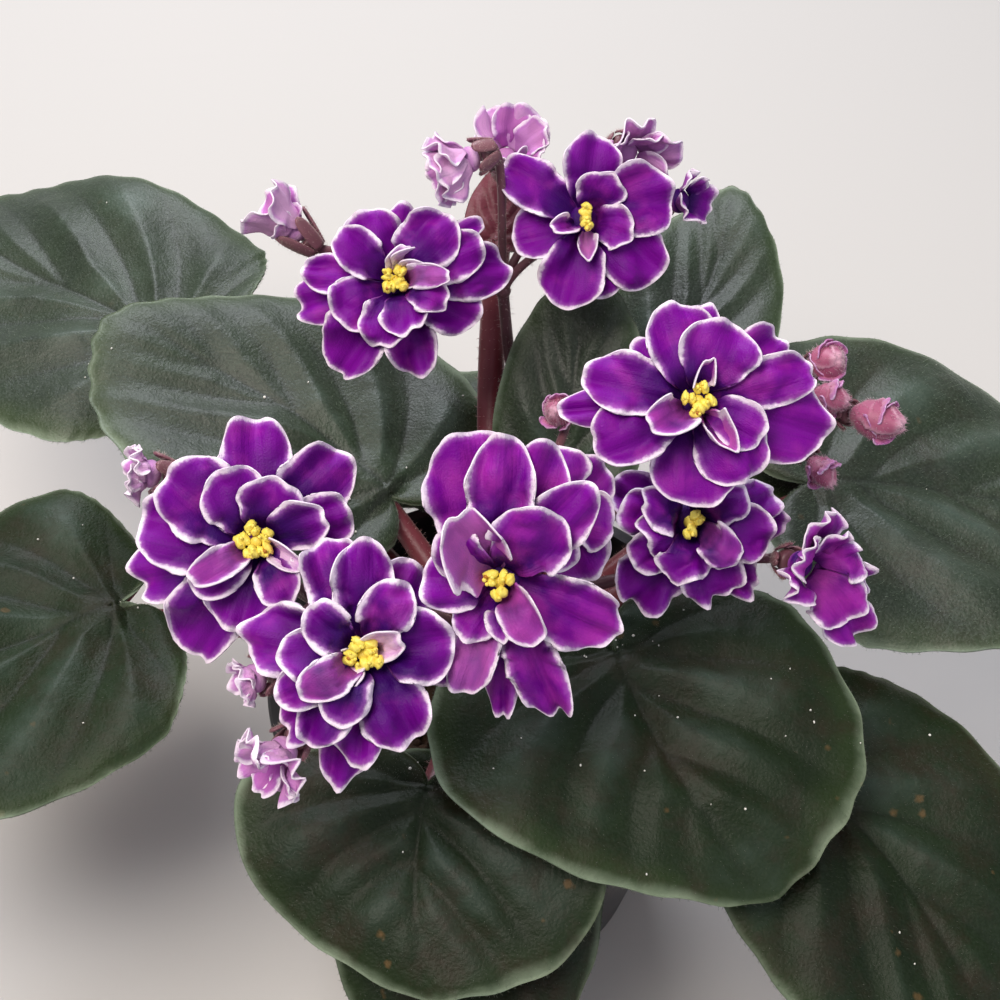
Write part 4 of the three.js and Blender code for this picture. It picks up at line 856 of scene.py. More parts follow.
class VIOLET_OT_potting_mix(bpy.types.Operator):
    """Builds the filling of damp peat with its loose crumbs"""

    bl_idname = "violet.potting_mix"
    bl_label = "Potting mix"

    def execute(self, context):
        rng = np.random.default_rng(5)
        edge = pot_inner_radius(MIX_EDGE_HEIGHT) - GAP
        inner = NECK_RADIUS + GAP
        turn = np.linspace(0, 2 * math.pi, MIX_SIDES, endpoint=False)[None]
        radius = np.linspace(inner, edge, MIX_RINGS)[:, None] + 0 * turn
        share = radius / edge
        lumps = sum(
            LUMP_HEIGHT * np.sin(radius * a * np.cos(turn + b) + c)
            for a, b, c in rng.uniform((0.2, 0, 0), (1.1, 6.28, 6.28), (9, 3)))
        rough = rng.normal(0, 0.16, radius.shape)
        height = MIX_EDGE_HEIGHT + MIX_MOUND * (1 - share ** 2) + (lumps + rough) * (1 - share ** 6)
        # Up the well of the crown's neck, over the top, and down the wall.
        well_floor = NECK_BOTTOM - GAP
        floor = POT_FLOOR + GAP
        rings = np.concatenate([
            circles(inner, well_floor, MIX_SIDES), circles(radius, height, MIX_SIDES),
            circles(pot_inner_radius(POT_FLOOR) - GAP, floor, MIX_SIDES)])
        points, faces = closed_rings(rings, (0, 0, well_floor), (0, 0, floor))
        shape = Shape()
        shape.add(points, [block[:, ::-1] for block in faces])
        unit, faces = ball(4, 7)
        for _ in range(CRUMBS):
            size = rng.uniform(0.4, 1.5)
            where = math.sqrt(rng.uniform((inner + 2) ** 2, (edge - 2) ** 2))
            angle = rng.uniform(0, 2 * math.pi)
            level = MIX_EDGE_HEIGHT + MIX_MOUND * (1 - (where / edge) ** 2) + 0.3 * size
            crumb = unit * size * rng.uniform(0.6, 1.1, 3) * rng.uniform(0.8, 1.1, (len(unit), 1))
            shape.add(crumb + [where * math.cos(angle), where * math.sin(angle), level], faces)
        shape.piece("potting_mix_peat", [mix_finish()], "potting_mix")
        return {"FINISHED"}


# ---------------------------------------------------------------- leaves

def leaf_directions(leaf):
    """Along the midrib, to its left, and out of its upper face."""
    heading = math.radians(leaf["heading"])
    pitch = math.radians(leaf["pitch"])
    roll = math.radians(leaf["roll"])
    along = np.array([math.cos(heading) * math.cos(pitch), math.sin(heading) * math.cos(pitch),
                      math.sin(pitch)])
    flat = np.array([-math.sin(heading), math.cos(heading), 0])
    left = flat * math.cos(roll) + np.cross(along, flat) * math.sin(roll)
    return along, left, np.cross(along, left)


def leaf_reach(leaf, turn):
    """From the hub to the edge: a heart, notched behind the hub and blunt at the tip."""
    from_notch = math.pi - np.abs(turn)
    body = 1 - 0.3 * (1 - np.cos(turn))
    notch = 1 - 0.8 * np.exp(-((from_notch / 0.25) ** 2))
    tip = 0.05 * np.exp(-((turn / 0.22) ** 2))
    return leaf["length"] * (body * notch + tip)


def side_veins(leaf):
    """Points along the side veins in the flat of the blade, as (n, 2)."""
    rng = np.random.default_rng(int(10 * leaf["phase"]) + round(leaf["length"]))
    size = leaf["length"]
    step = 0.018 * size
    run = np.arange(0, 1.15 * size, step)
    lines = []
    for side in (-1, 1):
        for start, angle in SIDE_VEINS:
            at = size * (start + (0.025 * side + rng.uniform(-0.015, 0.015)) * (start > 0))
            lean = np.radians(angle + rng.uniform(-4, 4) - VEIN_BEND * run / size)
            x = at + np.cumsum(step * np.cos(lean))
            y = side * np.cumsum(step * np.sin(lean))
            share = np.hypot(x, y) / leaf_reach(leaf, np.arctan2(y, x))
            keep = (share < 0.93) & (side * y > 0)
            x = x * np.where(x < 0, leaf["lobes"], 1)
            lines.append(np.stack([x, y * leaf["breadth"]], axis=1)[keep])
    return np.concatenate(lines)


def from_nearest(points, marks):
    """Distance from each point (n, 2) to the nearest mark (m, 2)."""
    nearest = np.full(len(points), np.inf)
    for mark in marks:
        away = points - mark
        nearest = np.minimum(nearest, (away * away).sum(axis=1))
    return np.sqrt(nearest)


def leaf_sheet(leaf, veins, share, turn):
    """Points of the blade's middle, and the marks that its finish reads."""
    size = leaf["length"]
    along, left, out = leaf_directions(leaf)
    rim_reach = leaf_reach(leaf, turn)
    teeth = 1 + 0.006 * share ** 6 * np.sin(0.55 * size * turn + 3 * np.sin(3 * turn))
    reach = rim_reach * share * teeth
    x = reach * np.cos(turn) * np.where(np.cos(turn) < 0, leaf["lobes"], 1)
    y = reach * np.sin(turn) * leaf["breadth"]
    fold = leaf["fold"] * (np.sqrt(y * y + 9) - 3)
    rim_fall = -0.07 * rim_reach * share ** 4
    droop = -leaf["droop"] * size * (np.maximum(x, 0) / size) ** 2
    wave = leaf["wave"] * share ** 3 * np.sin(LEAF_WAVES * turn + leaf["phase"])
    flat = np.stack([x.ravel(), y.ravel()], axis=1)
    from_side = from_nearest(flat, veins).reshape(x.shape)
    from_rib = np.abs(y) + 4 * np.maximum(-x, 0)
    from_vein = np.minimum(from_side, from_rib)
    # Cushions between the veins, lower towards the rim and near the hub.
    plain = (1 - share ** 2.5) * smooth(0.02, 0.22, share)
    cushion = 1 - np.exp(-((from_vein / (0.09 * size)) ** 2))
    groove = np.exp(-((from_side / 0.95) ** 2)) * (1 - share ** 2.5)
    rib = np.exp(-((from_rib / 1.0) ** 2)) * (1 - share ** 4)
    # Small swellings of the net between the side veins.
    puffs = np.sin(0.8 * x + 1.3 * np.sin(0.5 * y)) * np.sin(0.7 * y + leaf["phase"])
    # The blade also sags and swells slowly, about three times over its length.
    slow = np.sin(9 * x / size + leaf["phase"]) * np.sin(7 * y / size + 2 * leaf["phase"])
    relief = (0.054 * size * (cushion - 0.5) + 0.2 * puffs * cushion) * plain
    relief = relief + 0.02 * size * slow * smooth(0.1, 0.4, share)
    rise = fold + rim_fall + droop + wave + relief - 0.2 * groove - 0.3 * rib
    points = (np.array(leaf["hub"]) + along * x[..., None]
              + left * (y + leaf["bend"] * x * x / size)[..., None] + out * rise[..., None])
    width = rim_reach * np.sqrt(np.cos(turn) ** 2 + (leaf["breadth"] * np.sin(turn)) ** 2)
    marks = {"rim": (1 - share) * width, "vein": np.maximum(groove, rib),
             "swell": cushion * plain}
    return points, marks


def build_leaf(name, leaf, materials):
    """One velvet blade with its down, and the specks that lie on it."""
    rng = np.random.default_rng(sum(map(ord, name)))
    size = leaf["length"] * max(1, leaf["breadth"]) ** 0.7
    rings = int(size * 0.95) + 12
    sides = int(size * 3.6) + 40
    share = np.linspace(0, 1, rings + 1)[1:] ** 0.92
    turn = np.linspace(-math.pi, math.pi, sides, endpoint=False)
    share, turn = np.meshgrid(share, turn, indexing="ij")
    veins = side_veins(leaf)
    points, marks = leaf_sheet(leaf, veins, share, turn)
    centre, middle = leaf_sheet(leaf, veins, np.zeros(1), np.zeros(1))
    flat = np.concatenate([points.reshape(-1, 3), centre])
    marks = {key: np.concatenate([values.ravel(), middle[key]]) for key, values in marks.items()}
    first = np.arange(sides)
    hub = len(flat) - 1
    fan = np.stack([np.full(sides, hub), first, np.roll(first, -1)], axis=1)
    faces = [grid_faces(rings, sides, around=True), fan]
    border = ((rings - 1) * sides + first)[::-1]
    thickness = LEAF_THICKNESS * (0.5 + 0.5 * smooth(0, 3, marks["rim"]))
    solid, faces, normals = thickened(flat, faces, border, thickness)
    shape = Shape(*LEAF_MARKS)
    both = {key: np.tile(values, 2) for key, values in marks.items()}
    under = np.repeat([0.0, 1.0], len(flat)) * smooth(0.2, 1.6, both["rim"])
    reddened = 1.0 if name == "leaf_young_red" else 0.0
    shape.add(solid, faces, under=np.maximum(under, reddened),
              age=AGE_AND_SHADE.get(name, YOUNG_AGE), **both)
    # Down: it leans outwards on the upper face and is denser on the rim.
    spread = len(flat) - 1
    weights = share.ravel()
    area = math.pi * leaf["length"] ** 2 * leaf["breadth"] * BLADE_FILL
    chosen = rng.choice(spread, int(area * DOWN_DENSITY), p=weights / weights.sum())
    roots = flat[chosen] + normals[chosen] * (thickness[chosen, None] / 2 - 0.05)
    lean = leaf_directions(leaf)[0] * 0.9
    ways = normals[chosen] + lean + rng.normal(0, 0.3, (len(chosen), 3))
    longest = sizes().down_length / MM
    hairs(shape, roots, ways, longest * rng.uniform(0.45, 0.9, len(chosen)), DOWN_RADIUS, 1)
    edge = (rings - 1) * sides + rng.integers(0, sides, sides * RIM_HAIRS)
    outward = flat[edge] - flat[edge - 3 * sides]
    outward /= np.maximum(np.linalg.norm(outward, axis=1, keepdims=True), 1e-6)
    ways = outward + 0.5 * rng.normal(0, 1, (len(edge), 3))
    roots = flat[edge] + 0.15 * rng.normal(0, 1, (len(edge), 3))
    hairs(shape, roots, ways, longest * rng.uniform(0.3, 0.7, len(edge)), RIM_DOWN_RADIUS, 1)
    unit, ball_faces = ball(3, 6)
    for spot in rng.choice(spread, SPECKS.get(name, 0)):
        width = rng.uniform(0.12, 0.28)
        place = flat[spot] + normals[spot] * (thickness[spot] / 2 + 0.5 * width)
        shape.add(unit * width * rng.uniform(0.6, 1.4, 3) + place, ball_faces, 2)
    return shape.piece(f"{name}_blade", materials, name)


class VIOLET_OT_leaves(bpy.types.Operator):
    """Builds every velvet leaf blade with its down"""

    bl_idname = "violet.leaves"
    bl_label = "Leaves"

    def execute(self, context):
        dust = down_finish("dust_speck", "#f2f0ea", "#cfccc2")
        fresh = [leaf_finish("velvet_leaf", 0.5, 0.26, 0.22),
                 down_finish("leaf_down", "#87977f", "#6c7a66"), dust]
        # Old leaves, mostly those in front, get a darker down and fewer pale flecks: partly age,
        # partly painted shade.
        old = [leaf_finish("old_shaded_velvet_leaf", 0.2, 0.04, 0.06),
               down_finish("old_shaded_leaf_down", "#4a533d", "#353d2b"), dust]
        for name, leaf in LEAVES.items():
            build_leaf(name, leaf, old if AGE_AND_SHADE.get(name, YOUNG_AGE) >= OLD_AGE else fresh)
        return {"FINISHED"}


# ---------------------------------------------------------------- blooms

def face_directions(faces):
    """Out of a bloom's face, up across it and to its right."""
    turn, rise = (math.radians(a) for a in faces)
    out = np.array([math.sin(turn) * math.cos(rise), -math.cos(turn) * math.cos(rise),
                    math.sin(rise)])
    up = direction(*(UP - out * out[2]))
    return out, up, np.cross(up, out)


def petal_sheet(bloom, petal, draws, s, v, own):
    """Points of one petal's middle, and the marks that its finish reads.

    s runs from its root to its tip and v from side to side.
    """
    around, reach, width, opening = petal[:4]
    out, up, right = face_directions(bloom["faces"])
    turn = math.radians(around)
    away = right * math.cos(turn) + up * math.sin(turn)
    across = np.cross(out, away)
    # Open petals bend outwards, and folded ones close over the pollen.
    folded = own["roll"] >= FOLDED_ROLL
    curl = math.radians(-30 - 30 * own["roll"] if folded else 26 + 18 * draws[0])
    first = math.radians(opening) - curl / 2

    def outward(t):
        return (math.cos(first) - np.cos(first + curl * t)) / curl

    def forward(t):
        return (np.sin(first + curl * t) - math.sin(first)) / curl

    length = (reach - PETAL_ROOT_OUT) / outward(1)
    # A blunt round end, with a shallow notch on some petals.
    end = 0.6 + 0.4 * np.sqrt(np.maximum(0, 1 - v * v)) - own["notch"] * np.exp(-((v / 0.32) ** 2))
    t = s * end
    narrow = 0.25 + 0.75 * np.sin(np.minimum(1, t / 0.6) * math.pi / 2)
    half = 0.5 * width * narrow * (1 - 0.14 * np.maximum(0, (t - 0.6) / 0.4) ** 2)
    # How far a point is from the rim, in millimetres, and where it lies round the petal.
    to_tip = (1 - s) * end * length
    to_side = (1 - np.abs(v)) * half + 3 * np.maximum(0, 0.34 - t) / 0.34
    rim = np.maximum(-0.3 * np.log(np.exp(-to_tip / 0.3) + np.exp(-to_side / 0.3)), 0)
    round_petal = np.arctan2(half * v, (t - 0.45) * length)
    edge = 2 * length + width
    waves = round(edge / WAVE_LENGTH)
    long_wave = np.sin(waves * round_petal + own["phases"][0])
    short_wave = np.sin((2 * waves + 1) * round_petal + own["phases"][1])
    t = t * (1 + 0.012 * (long_wave + 0.3 * short_wave) * s ** 4)
    half = half * (1 + 0.02 * (long_wave + 0.3 * short_wave) * v ** 4)
    slope = first + curl * t
    inner = out * np.sin(slope)[..., None] - away * np.cos(slope)[..., None]
    tip_wave = t * t * np.sin(2.2 * math.pi * v + draws[1])
    side_wave = 0.7 * v ** 4 * t * np.sin(3 * math.pi * t + draws[2])
    cup = 0.1 * width * v * v * narrow + PETAL_TWIST * half * v
    frill = 0.8 * np.exp(-((rim / 2.2) ** 2)) * long_wave + 0.16 * np.exp(-((rim / 1.2) ** 2)) * (
        short_wave + 0.5 * np.sin((4 * waves + 1) * round_petal + own["phases"][2]))
    pleat = 0.1 * np.sin(3.5 * math.pi * v + own["phases"][3]) * np.sin(math.pi * np.clip(t, 0, 1))
    # The sides of a rolled petal close over its face and show its paler back.
    rolled = own["roll"] * width * np.abs(v) ** 2.5 * narrow
    half = half * (1 - 0.45 * own["roll"] * v * v)
    frill = frill * bloom["frill"]
    lift = cup + own["wavy"] * bloom["ruffle"] * (tip_wave + side_wave + frill) + pleat + rolled
    layer = (0.6 if opening < OUTER_OPENING else 0) - CORE_BACK + own["layer"]
    points = (np.array(bloom["at"]) + out * (layer + length * forward(t))[..., None]
              + away * (PETAL_ROOT_OUT + length * outward(t))[..., None]
              + across * (half * v)[..., None] + inner * lift[..., None])
    return points, {"rim": rim, "along": t, "aside": v}


def laid_on(points, bloom, stack):
    """Lifts a petal off those laid before it, so that none cuts through another."""
    out, up, right = face_directions(bloom["faces"])
    local = points - np.array(bloom["at"])
    height = local @ out
    aside, above = local @ right, local @ up
    column = np.clip(np.rint(aside / STACK_CELL).astype(int) + STACK_CELLS // 2, 1, STACK_CELLS - 2)
    row = np.clip(np.rint(above / STACK_CELL).astype(int) + STACK_CELLS // 2, 1, STACK_CELLS - 2)
    below = np.max([stack[row + i, column + j] for i in (-1, 0, 1) for j in (-1, 0, 1)], axis=0)
    radius = np.hypot(aside, above)
    push = np.clip(below + PETAL_CLEARANCE - height, 0, HIGHEST_LIFT) * smooth(2.5, 5, radius)
    for _ in range(SOFTENING_STEPS):
        wide = np.pad(push, 1, mode="edge")
        soft = (wide[:-2, 1:-1] + wide[2:, 1:-1] + wide[1:-1, :-2] + wide[1:-1, 2:]) / 4
        push = np.maximum(push, soft)
    np.maximum.at(stack, (row, column), height + push)
    return points + push[..., None] * out


def add_petal(shape, bloom, petal, draws, own, rng, stack=None, finish=0):
    """Adds one petal as a closed blade, thinner at its rim."""
    rows = 16 + int(petal[1] * 0.9)
    columns = 15 + int(petal[2] * 1.4)
    s = np.sin(np.linspace(0, math.pi / 2, rows)) ** 1.1
    v = np.sin(np.linspace(-math.pi / 2, math.pi / 2, columns))
    s, v = np.meshgrid(s, v, indexing="ij")
    own["phases"] = rng.uniform(0, 2 * math.pi, 4)
    own["notch"] = max(0, rng.uniform(-0.1, 0.05))
    points, marks = petal_sheet(bloom, petal, draws, s, v, own)
    if stack is not None and petal[3] >= STACKED_OPENING:
        points = laid_on(points, bloom, stack)
    flat = points.reshape(-1, 3)
    marks = {key: values.ravel() for key, values in marks.items()}
    thickness = PETAL_THICKNESS * (0.65 + 0.35 * smooth(0, 2, marks["rim"]))
    solid, faces, _ = thickened(
        flat, [grid_faces(rows, columns)], grid_border(rows, columns), thickness)
    back = np.repeat([0.0, 1.0], len(flat))
    both = {key: np.tile(values, 2) for key, values in marks.items()}
    both["rim"] = both["rim"] - bloom["broad_rim"]
    shape.add(solid, faces, finish, back=back, tone=rng.uniform(-0.3, 0.3) - bloom["deep"],
              blush=own["blush"], fade=own["fade"], **both)


def build_bloom(name, bloom, material, slot):
    """The layered petals of one bloom round its small core, the widest open laid first."""
    shape = Shape(*PETAL_MARKS)
    rng = np.random.default_rng(bloom["seed"])
    stream = draws_from(bloom["seed"])
    spent = SPENT_FADE if slot == "pale_petal" else 0
    laid = []
    for k, petal in enumerate(bloom["petals"] + bloom["extra"]):
        draws = (next(stream), 2 * math.pi * next(stream), 2 * math.pi * next(stream))
        small = k >= len(bloom["petals"])
        roll, white = (*petal[4:], 0, 0)[:2]
        own = {"layer": EXTRA_LAYER_LIFT if small else 0, "roll": roll,
               "wavy": min(1, petal[2] / 13) if small else 1,
               "fade": np.clip(white + spent * rng.uniform(0, 1.6), 0, 1),
               "blush": bloom["blush"] + 0.9 * roll + rng.uniform(-0.12, 0.12)}
        laid.append((petal, draws, own))
    stack = np.full((STACK_CELLS, STACK_CELLS), -99.0)
    for petal, draws, own in sorted(laid, key=lambda row: -row[0][3]):
        add_petal(shape, bloom, petal, draws, own, rng, stack)
    out, up, right = face_directions(bloom["faces"])
    unit, faces = ball(9, 16)
    radius = CORE_RADIUS * (OPEN_CORE if bloom["sacs"] else CLOSED_CORE)
    core = (np.array(bloom["at"]) - out * CORE_BACK
            + radius * (unit[:, :1] * right + unit[:, 1:2] * up)
            + CORE_HALF_DEPTH * unit[:, 2:] * out)
    shape.add(core, faces, rim=5.0, along=0.1 + spent, fade=spent,
              back=(unit[:, 2] < 0).astype(float))
    return shape.piece(f"{name}_petals", [material], name)


def frame_slot(node):
    """The material slot that the record gives a node."""
    for row in frame["record"]["subparts"]:
        if row["node"] == node:
            return row["material_slot"]
    raise ValueError(f"the record has no node {node}")


class VIOLET_OT_blooms(bpy.types.Operator):
    """Builds every bloom, open, half open or spent"""

    bl_idname = "violet.blooms"
    bl_label = "Blooms"

    def execute(self, context):
        shades = colours()
        finishes = {
            "purple_petal": petal_finish("violet_petal", shades.throat, shades.petal,
                                         shades.petal_back),
            "pale_petal": petal_finish("faded_petal", linear("#8a3493"), shades.pale_petal,
                                       linear("#d9a3cf"))}
        for name, bloom in BLOOMS.items():
            slot = frame_slot(name)
            build_bloom(name, bloom, finishes[slot], slot)
        return {"FINISHED"}


def add_pollen_sac(shape, place, directions, rng):
    """Two lobes with a slit between them, and crumbs of shed pollen that stick to them."""
    out, up, right = directions
    unit, faces = ball(9, 14)
    spin = rng.uniform(0, math.pi)
    long_way = right * math.cos(spin) + up * math.sin(spin)
    short_way = np.cross(out, long_way)
    for side in (-1, 1):
        knobs = 1 + 0.1 * np.sin(4 * unit[:, :1] + 5 * unit[:, 1:2] + 9 * rng.uniform())
        lobe = unit * knobs * POLLEN_LOBE * rng.uniform(0.8, 1.15, 3)
        slit = np.exp(-((lobe[:, 1] * side + 0.62) / 0.2) ** 2)
        points = (place + long_way * lobe[:, :1]
                  + short_way * (lobe[:, 1:2] + LOBE_OFFSET * side)
                  + out * (lobe[:, 2:] + 0.3 * rng.uniform(-1, 1)))
        shape.add(points, faces, slit=0.2 * slit)
    for _ in range(POLLEN_CRUMBS):
        way = direction(*rng.normal(0, 1, 3)) + out * 0.6
        shape.add(place + way * rng.uniform(0.7, 1.1) + unit * rng.uniform(0.16, 0.4), faces)


def build_pollen(name, bloom, material):
    """The ring of pollen sacs of one bloom, on its short column, and the style beside it."""
    rng = np.random.default_rng(bloom["seed"] + 1)
    out, up, right = face_directions(bloom["faces"])
    shape = Shape("slit")
    heart = np.array(bloom["at"], float)
    foot = CORE_HALF_DEPTH - CORE_BACK + GAP
    column = [heart + out * (foot + 2.6 * k / 5) for k in range(6)]
    shape.add(*tube(column, np.linspace(1.25, 0.9, 6), 10)[:2], slit=0.25)
    sacs = bloom["sacs"]
    for k in range(sacs):
        turn = 2 * math.pi * k / sacs + bloom["seed"]
        offset = (1.0 + 0.16 * sacs if sacs > 1 else 0) * rng.uniform(0.9, 1.3)
        place = (heart + right * offset * math.cos(turn) + up * offset * math.sin(turn)
                 + out * (foot + 2.5 + rng.uniform(-0.4, 0.7)))
        add_pollen_sac(shape, place, (out, up, right), rng)
    # The style leans out beside the sacs.
    lean = right * math.cos(bloom["seed"]) + up * math.sin(bloom["seed"])
    style = [heart + lean * (0.6 + 0.3 * k) + out * (foot + 0.2 + 0.6 * k) for k in range(7)]
    shape.add(*tube(style, 0.32, 8)[:2], slit=1.0)
    shape.piece(f"{name}_pollen_sacs", [material], f"{name}_pollen")


class VIOLET_OT_pollen(bpy.types.Operator):
    """Builds the yellow pollen sacs on their filaments"""

    bl_idname = "violet.pollen"
    bl_label = "Pollen sacs"

    def execute(self, context):
        material = pollen_finish()
        for name, bloom in BLOOMS.items():
            if bloom["sacs"]:
                build_pollen(name, bloom, material)
        return {"FINISHED"}


def build_bud(name, bud, materials):
    """A drop of petals folded over each other, with loose tips and down."""
    rng = np.random.default_rng(sum(map(ord, name)))
    out, up, right = face_directions(bud["faces"])
    middle = np.array(bud["at"])
    length, width = bud["length"], bud["width"]
    rows, sides = 34, 60
    u = np.linspace(0, 1, rows)[:, None]
    turn = np.linspace(0, 2 * math.pi, sides, endpoint=False)[None]
    belly = np.interp(u, [0, 0.06, 0.25, 0.5, 0.75, 0.93, 1], [0.3, 0.5, 0.86, 1, 0.74, 0.42, 0.2])
    # Three petals wind round the drop, each with a step where it lies over the next.
    fold = (3 * (turn - 0.55 * math.pi * u) / (2 * math.pi)) % 1
    step = 0.13 * fold * smooth(0.15, 0.5, u)
    radius = 0.5 * width * belly * (0.92 + step)
    height = (u - 0.5) * length * (1 + 0.05 * np.sin(3 * turn) * u)
    rings = (middle + right * (radius * np.cos(turn))[..., None]
             + up * (radius * np.sin(turn))[..., None] + out * height[..., None])
    points, faces = closed_rings(rings, middle - 0.52 * length * out, middle + 0.47 * length * out)
    white = np.maximum(smooth(0.8, 1.0, fold) * smooth(0.2, 0.5, u), smooth(0.86, 1, u))
    shape = Shape(*PETAL_MARKS)
    shape.add(points, faces,
              rim=np.concatenate([(0.45 * white + 0 * turn).ravel(), [0, 0.45]]))
    # Petal tips stand off the bud in two rings, a little crumpled and pale at the rim.
    like_bloom = USUAL_BLOOM | {"at": bud["at"], "faces": bud["faces"], "ruffle": 0.16,
                                "broad_rim": -0.7}
    for k in range(LOOSE_TIPS):
        petal = (76 * k + 20, PETAL_ROOT_OUT + 0.17 * width + 0.25 * (k % 2), 0.7 * width,
                 24 + 6 * (k % 2))
        own = {"layer": 0.4 + 0.16 * length * (k % 2), "roll": 0, "wavy": 1,
               "fade": rng.uniform(0, 0.12), "blush": 0}
        draws = (rng.uniform(), rng.uniform(0, 6), rng.uniform(0, 6))
        add_petal(shape, like_bloom, petal, draws, own, rng, finish=2)
    chosen = rng.integers(0, rows * sides, BUD_HAIRS)
    ways = points[chosen] - middle + 0.4 * rng.normal(0, 1, (BUD_HAIRS, 3))
    hairs(shape, points[chosen], ways, rng.uniform(0.5, 0.9, BUD_HAIRS), STALK_DOWN_RADIUS, 1)
    shape.piece(f"{name}_petals", materials, name)


class VIOLET_OT_buds(bpy.types.Operator):
    """Builds the closed buds, petals folded round a drop"""

    bl_idname = "violet.buds"
    bl_label = "Buds"

    def execute(self, context):
        materials = [
            bud_finish(), down_finish("bud_down", "#e4c9d2", "#b98fa2"),
            petal_finish("bud_petal", linear("#6e2547"), colours().bud, linear("#b77a95"))]
        for name, bud in BUDS.items():
            build_bud(name, bud, materials)
        return {"FINISHED"}


# ---------------------------------------------------------------- flower stalks

def seat_of(name):
    """Where a bloom or bud meets its calyx, its directions there and the calyx's radius."""
    head = BLOOMS.get(name) or BUDS[name]
    out, up, right = face_directions(head["faces"])
    back = CORE_BACK + CORE_HALF_DEPTH if name in BLOOMS else head["length"] / 2
    radius = CALYX_RADIUS if name in BLOOMS else 0.36 * head["width"]
    return np.array(head["at"]) - out * (back + GAP), out, up, right, radius


def add_calyx(shape, seat, rng, hug):
    """Five pointed sepals that rise from a small cup and hug a closed bloom by some length."""
    point, out, up, right, radius = seat
    cup = [point - out * CALYX_LENGTH * (1 - k / 6) for k in range(7)]
    shape.add(*tube(cup, radius * np.array([0.3, 0.42, 0.54, 0.64, 0.7, 0.7, 0.62]), 20)[:2],
              along=0.5)
    for k in range(SEPALS):
        turn = 2 * math.pi * k / SEPALS
        away = right * math.cos(turn) + up * math.sin(turn)
        across = np.cross(out, away)
        rows, columns = 12, 7
        s, v = np.meshgrid(np.linspace(0, 1, rows), np.linspace(-1, 1, columns), indexing="ij")
        reach = radius * (0.55 + 0.75 * s - 0.28 * s * s) + 0.22 * hug * s
        height = -CALYX_LENGTH * 0.75 * (1 - s) ** 1.2 - 0.25 + (0.2 + hug) * s
        half = 0.52 * radius * np.sqrt(np.clip(1 - s, 0.004, 1)) * (0.7 + 0.9 * s)
        half = half * (1 + 0.02 * hug)
        keel = 0.16 * radius * (1 - v * v)
        points = (point + away * (reach + keel * 0.6)[..., None] + across * (half * v)[..., None]
                  + out * (height - 0.5 * keel)[..., None]).reshape(-1, 3)
        solid, faces, normals = thickened(
            points, [grid_faces(rows, columns)], grid_border(rows, columns), 0.4)
        shape.add(solid, faces, along=0.8)
        chosen = rng.integers(0, rows * columns, SEPAL_HAIRS)
        ways = -normals[chosen] + 0.5 * rng.normal(0, 1, (SEPAL_HAIRS, 3))
        hairs(shape, points[chosen], ways, rng.uniform(0.6, 1.1, SEPAL_HAIRS),
              STALK_DOWN_RADIUS, 1)


def add_hairy_bar(shape, path, radii, sides, rng, spacing, marks):
    """A stalk with short hairs standing off it; marks say how far along each ring is."""
    points, faces, spokes = tube(path, radii, sides)
    shape.add(points, faces, along=np.concatenate([np.repeat(marks, sides), marks[[0, -1]]]))
    length = np.linalg.norm(np.diff(path, axis=0), axis=1).sum()
    chosen = rng.integers(0, len(path) * sides, int(length / spacing))
    ways = spokes[chosen] + 0.35 * rng.normal(0, 1, (len(chosen), 3))
    hairs(shape, points[chosen] - 0.05 * spokes[chosen], ways,
          rng.uniform(0.6, 1.3, len(chosen)), STALK_DOWN_RADIUS, 1)


def foot_of(spray):
    """The foot of a spray's main stalk, sunk into the top of the crown."""
    x, y = spray["root"]
    share = 1 - (x * x + y * y) / CROWN_RADIUS ** 2
    return np.array([x, y, NECK_TOP + CROWN_HALF_HEIGHT * math.sqrt(share) - SOCKET_DEPTH])


class VIOLET_OT_flower_stalks(bpy.types.Operator):
    """Builds the thin branching stalks with their calyxes"""

    bl_idname = "violet.flower_stalks"
    bl_label = "Flower stalks"

    def execute(self, context):
        materials = [stalk_finish("hairy_flower_stalk", colours().flower_stalk, "#97656f"),
                     down_finish("stalk_down", "#d8c3bd", "#9c7f7c")]
        for name, spray in SPRAYS.items():
            rng = np.random.default_rng(sum(map(ord, name)))
            shape = Shape("along")
            foot = foot_of(spray)
            route = [foot, foot + [0, 0, 6], *map(np.array, spray["route"]),
                     np.array(spray["fork"])]
            path = through(route, 14)
            share = np.linspace(0, 1, len(path))
            add_hairy_bar(shape, path, STALK_RADIUS - 0.3 * share, 14, rng, 0.28, 0.3 * share)
            fork = np.array(spray["fork"], float)
            rise = direction(*(fork - np.array(spray["route"][-1])))
            for head in spray["carries"]:
                seat = seat_of(head)
                out = seat[1]
                end = seat[0] - out * 0.6 * CALYX_LENGTH
                span = np.linalg.norm(end - fork)
                branch = bezier(fork - rise * 1.5, fork + rise * 0.25 * span,
                                end - out * 0.1 * span, end, 26)
                share = np.linspace(0, 1, len(branch))
                radii = BRANCH_RADIUS * (1.08 - 0.2 * np.sin(math.pi * share))
                add_hairy_bar(shape, branch, radii, 12, rng, 0.3, 0.3 + 0.4 * share)
                add_calyx(shape, seat, rng, SEPAL_HUG.get(head, 0))
            unit, faces = ball(8, 12)
            shape.add(fork + unit * 1.7, faces, along=0.3)
            shape.piece(f"{name}_spray", materials, name)
        return {"FINISHED"}


# ---------------------------------------------------------------- crown and leaf stalks

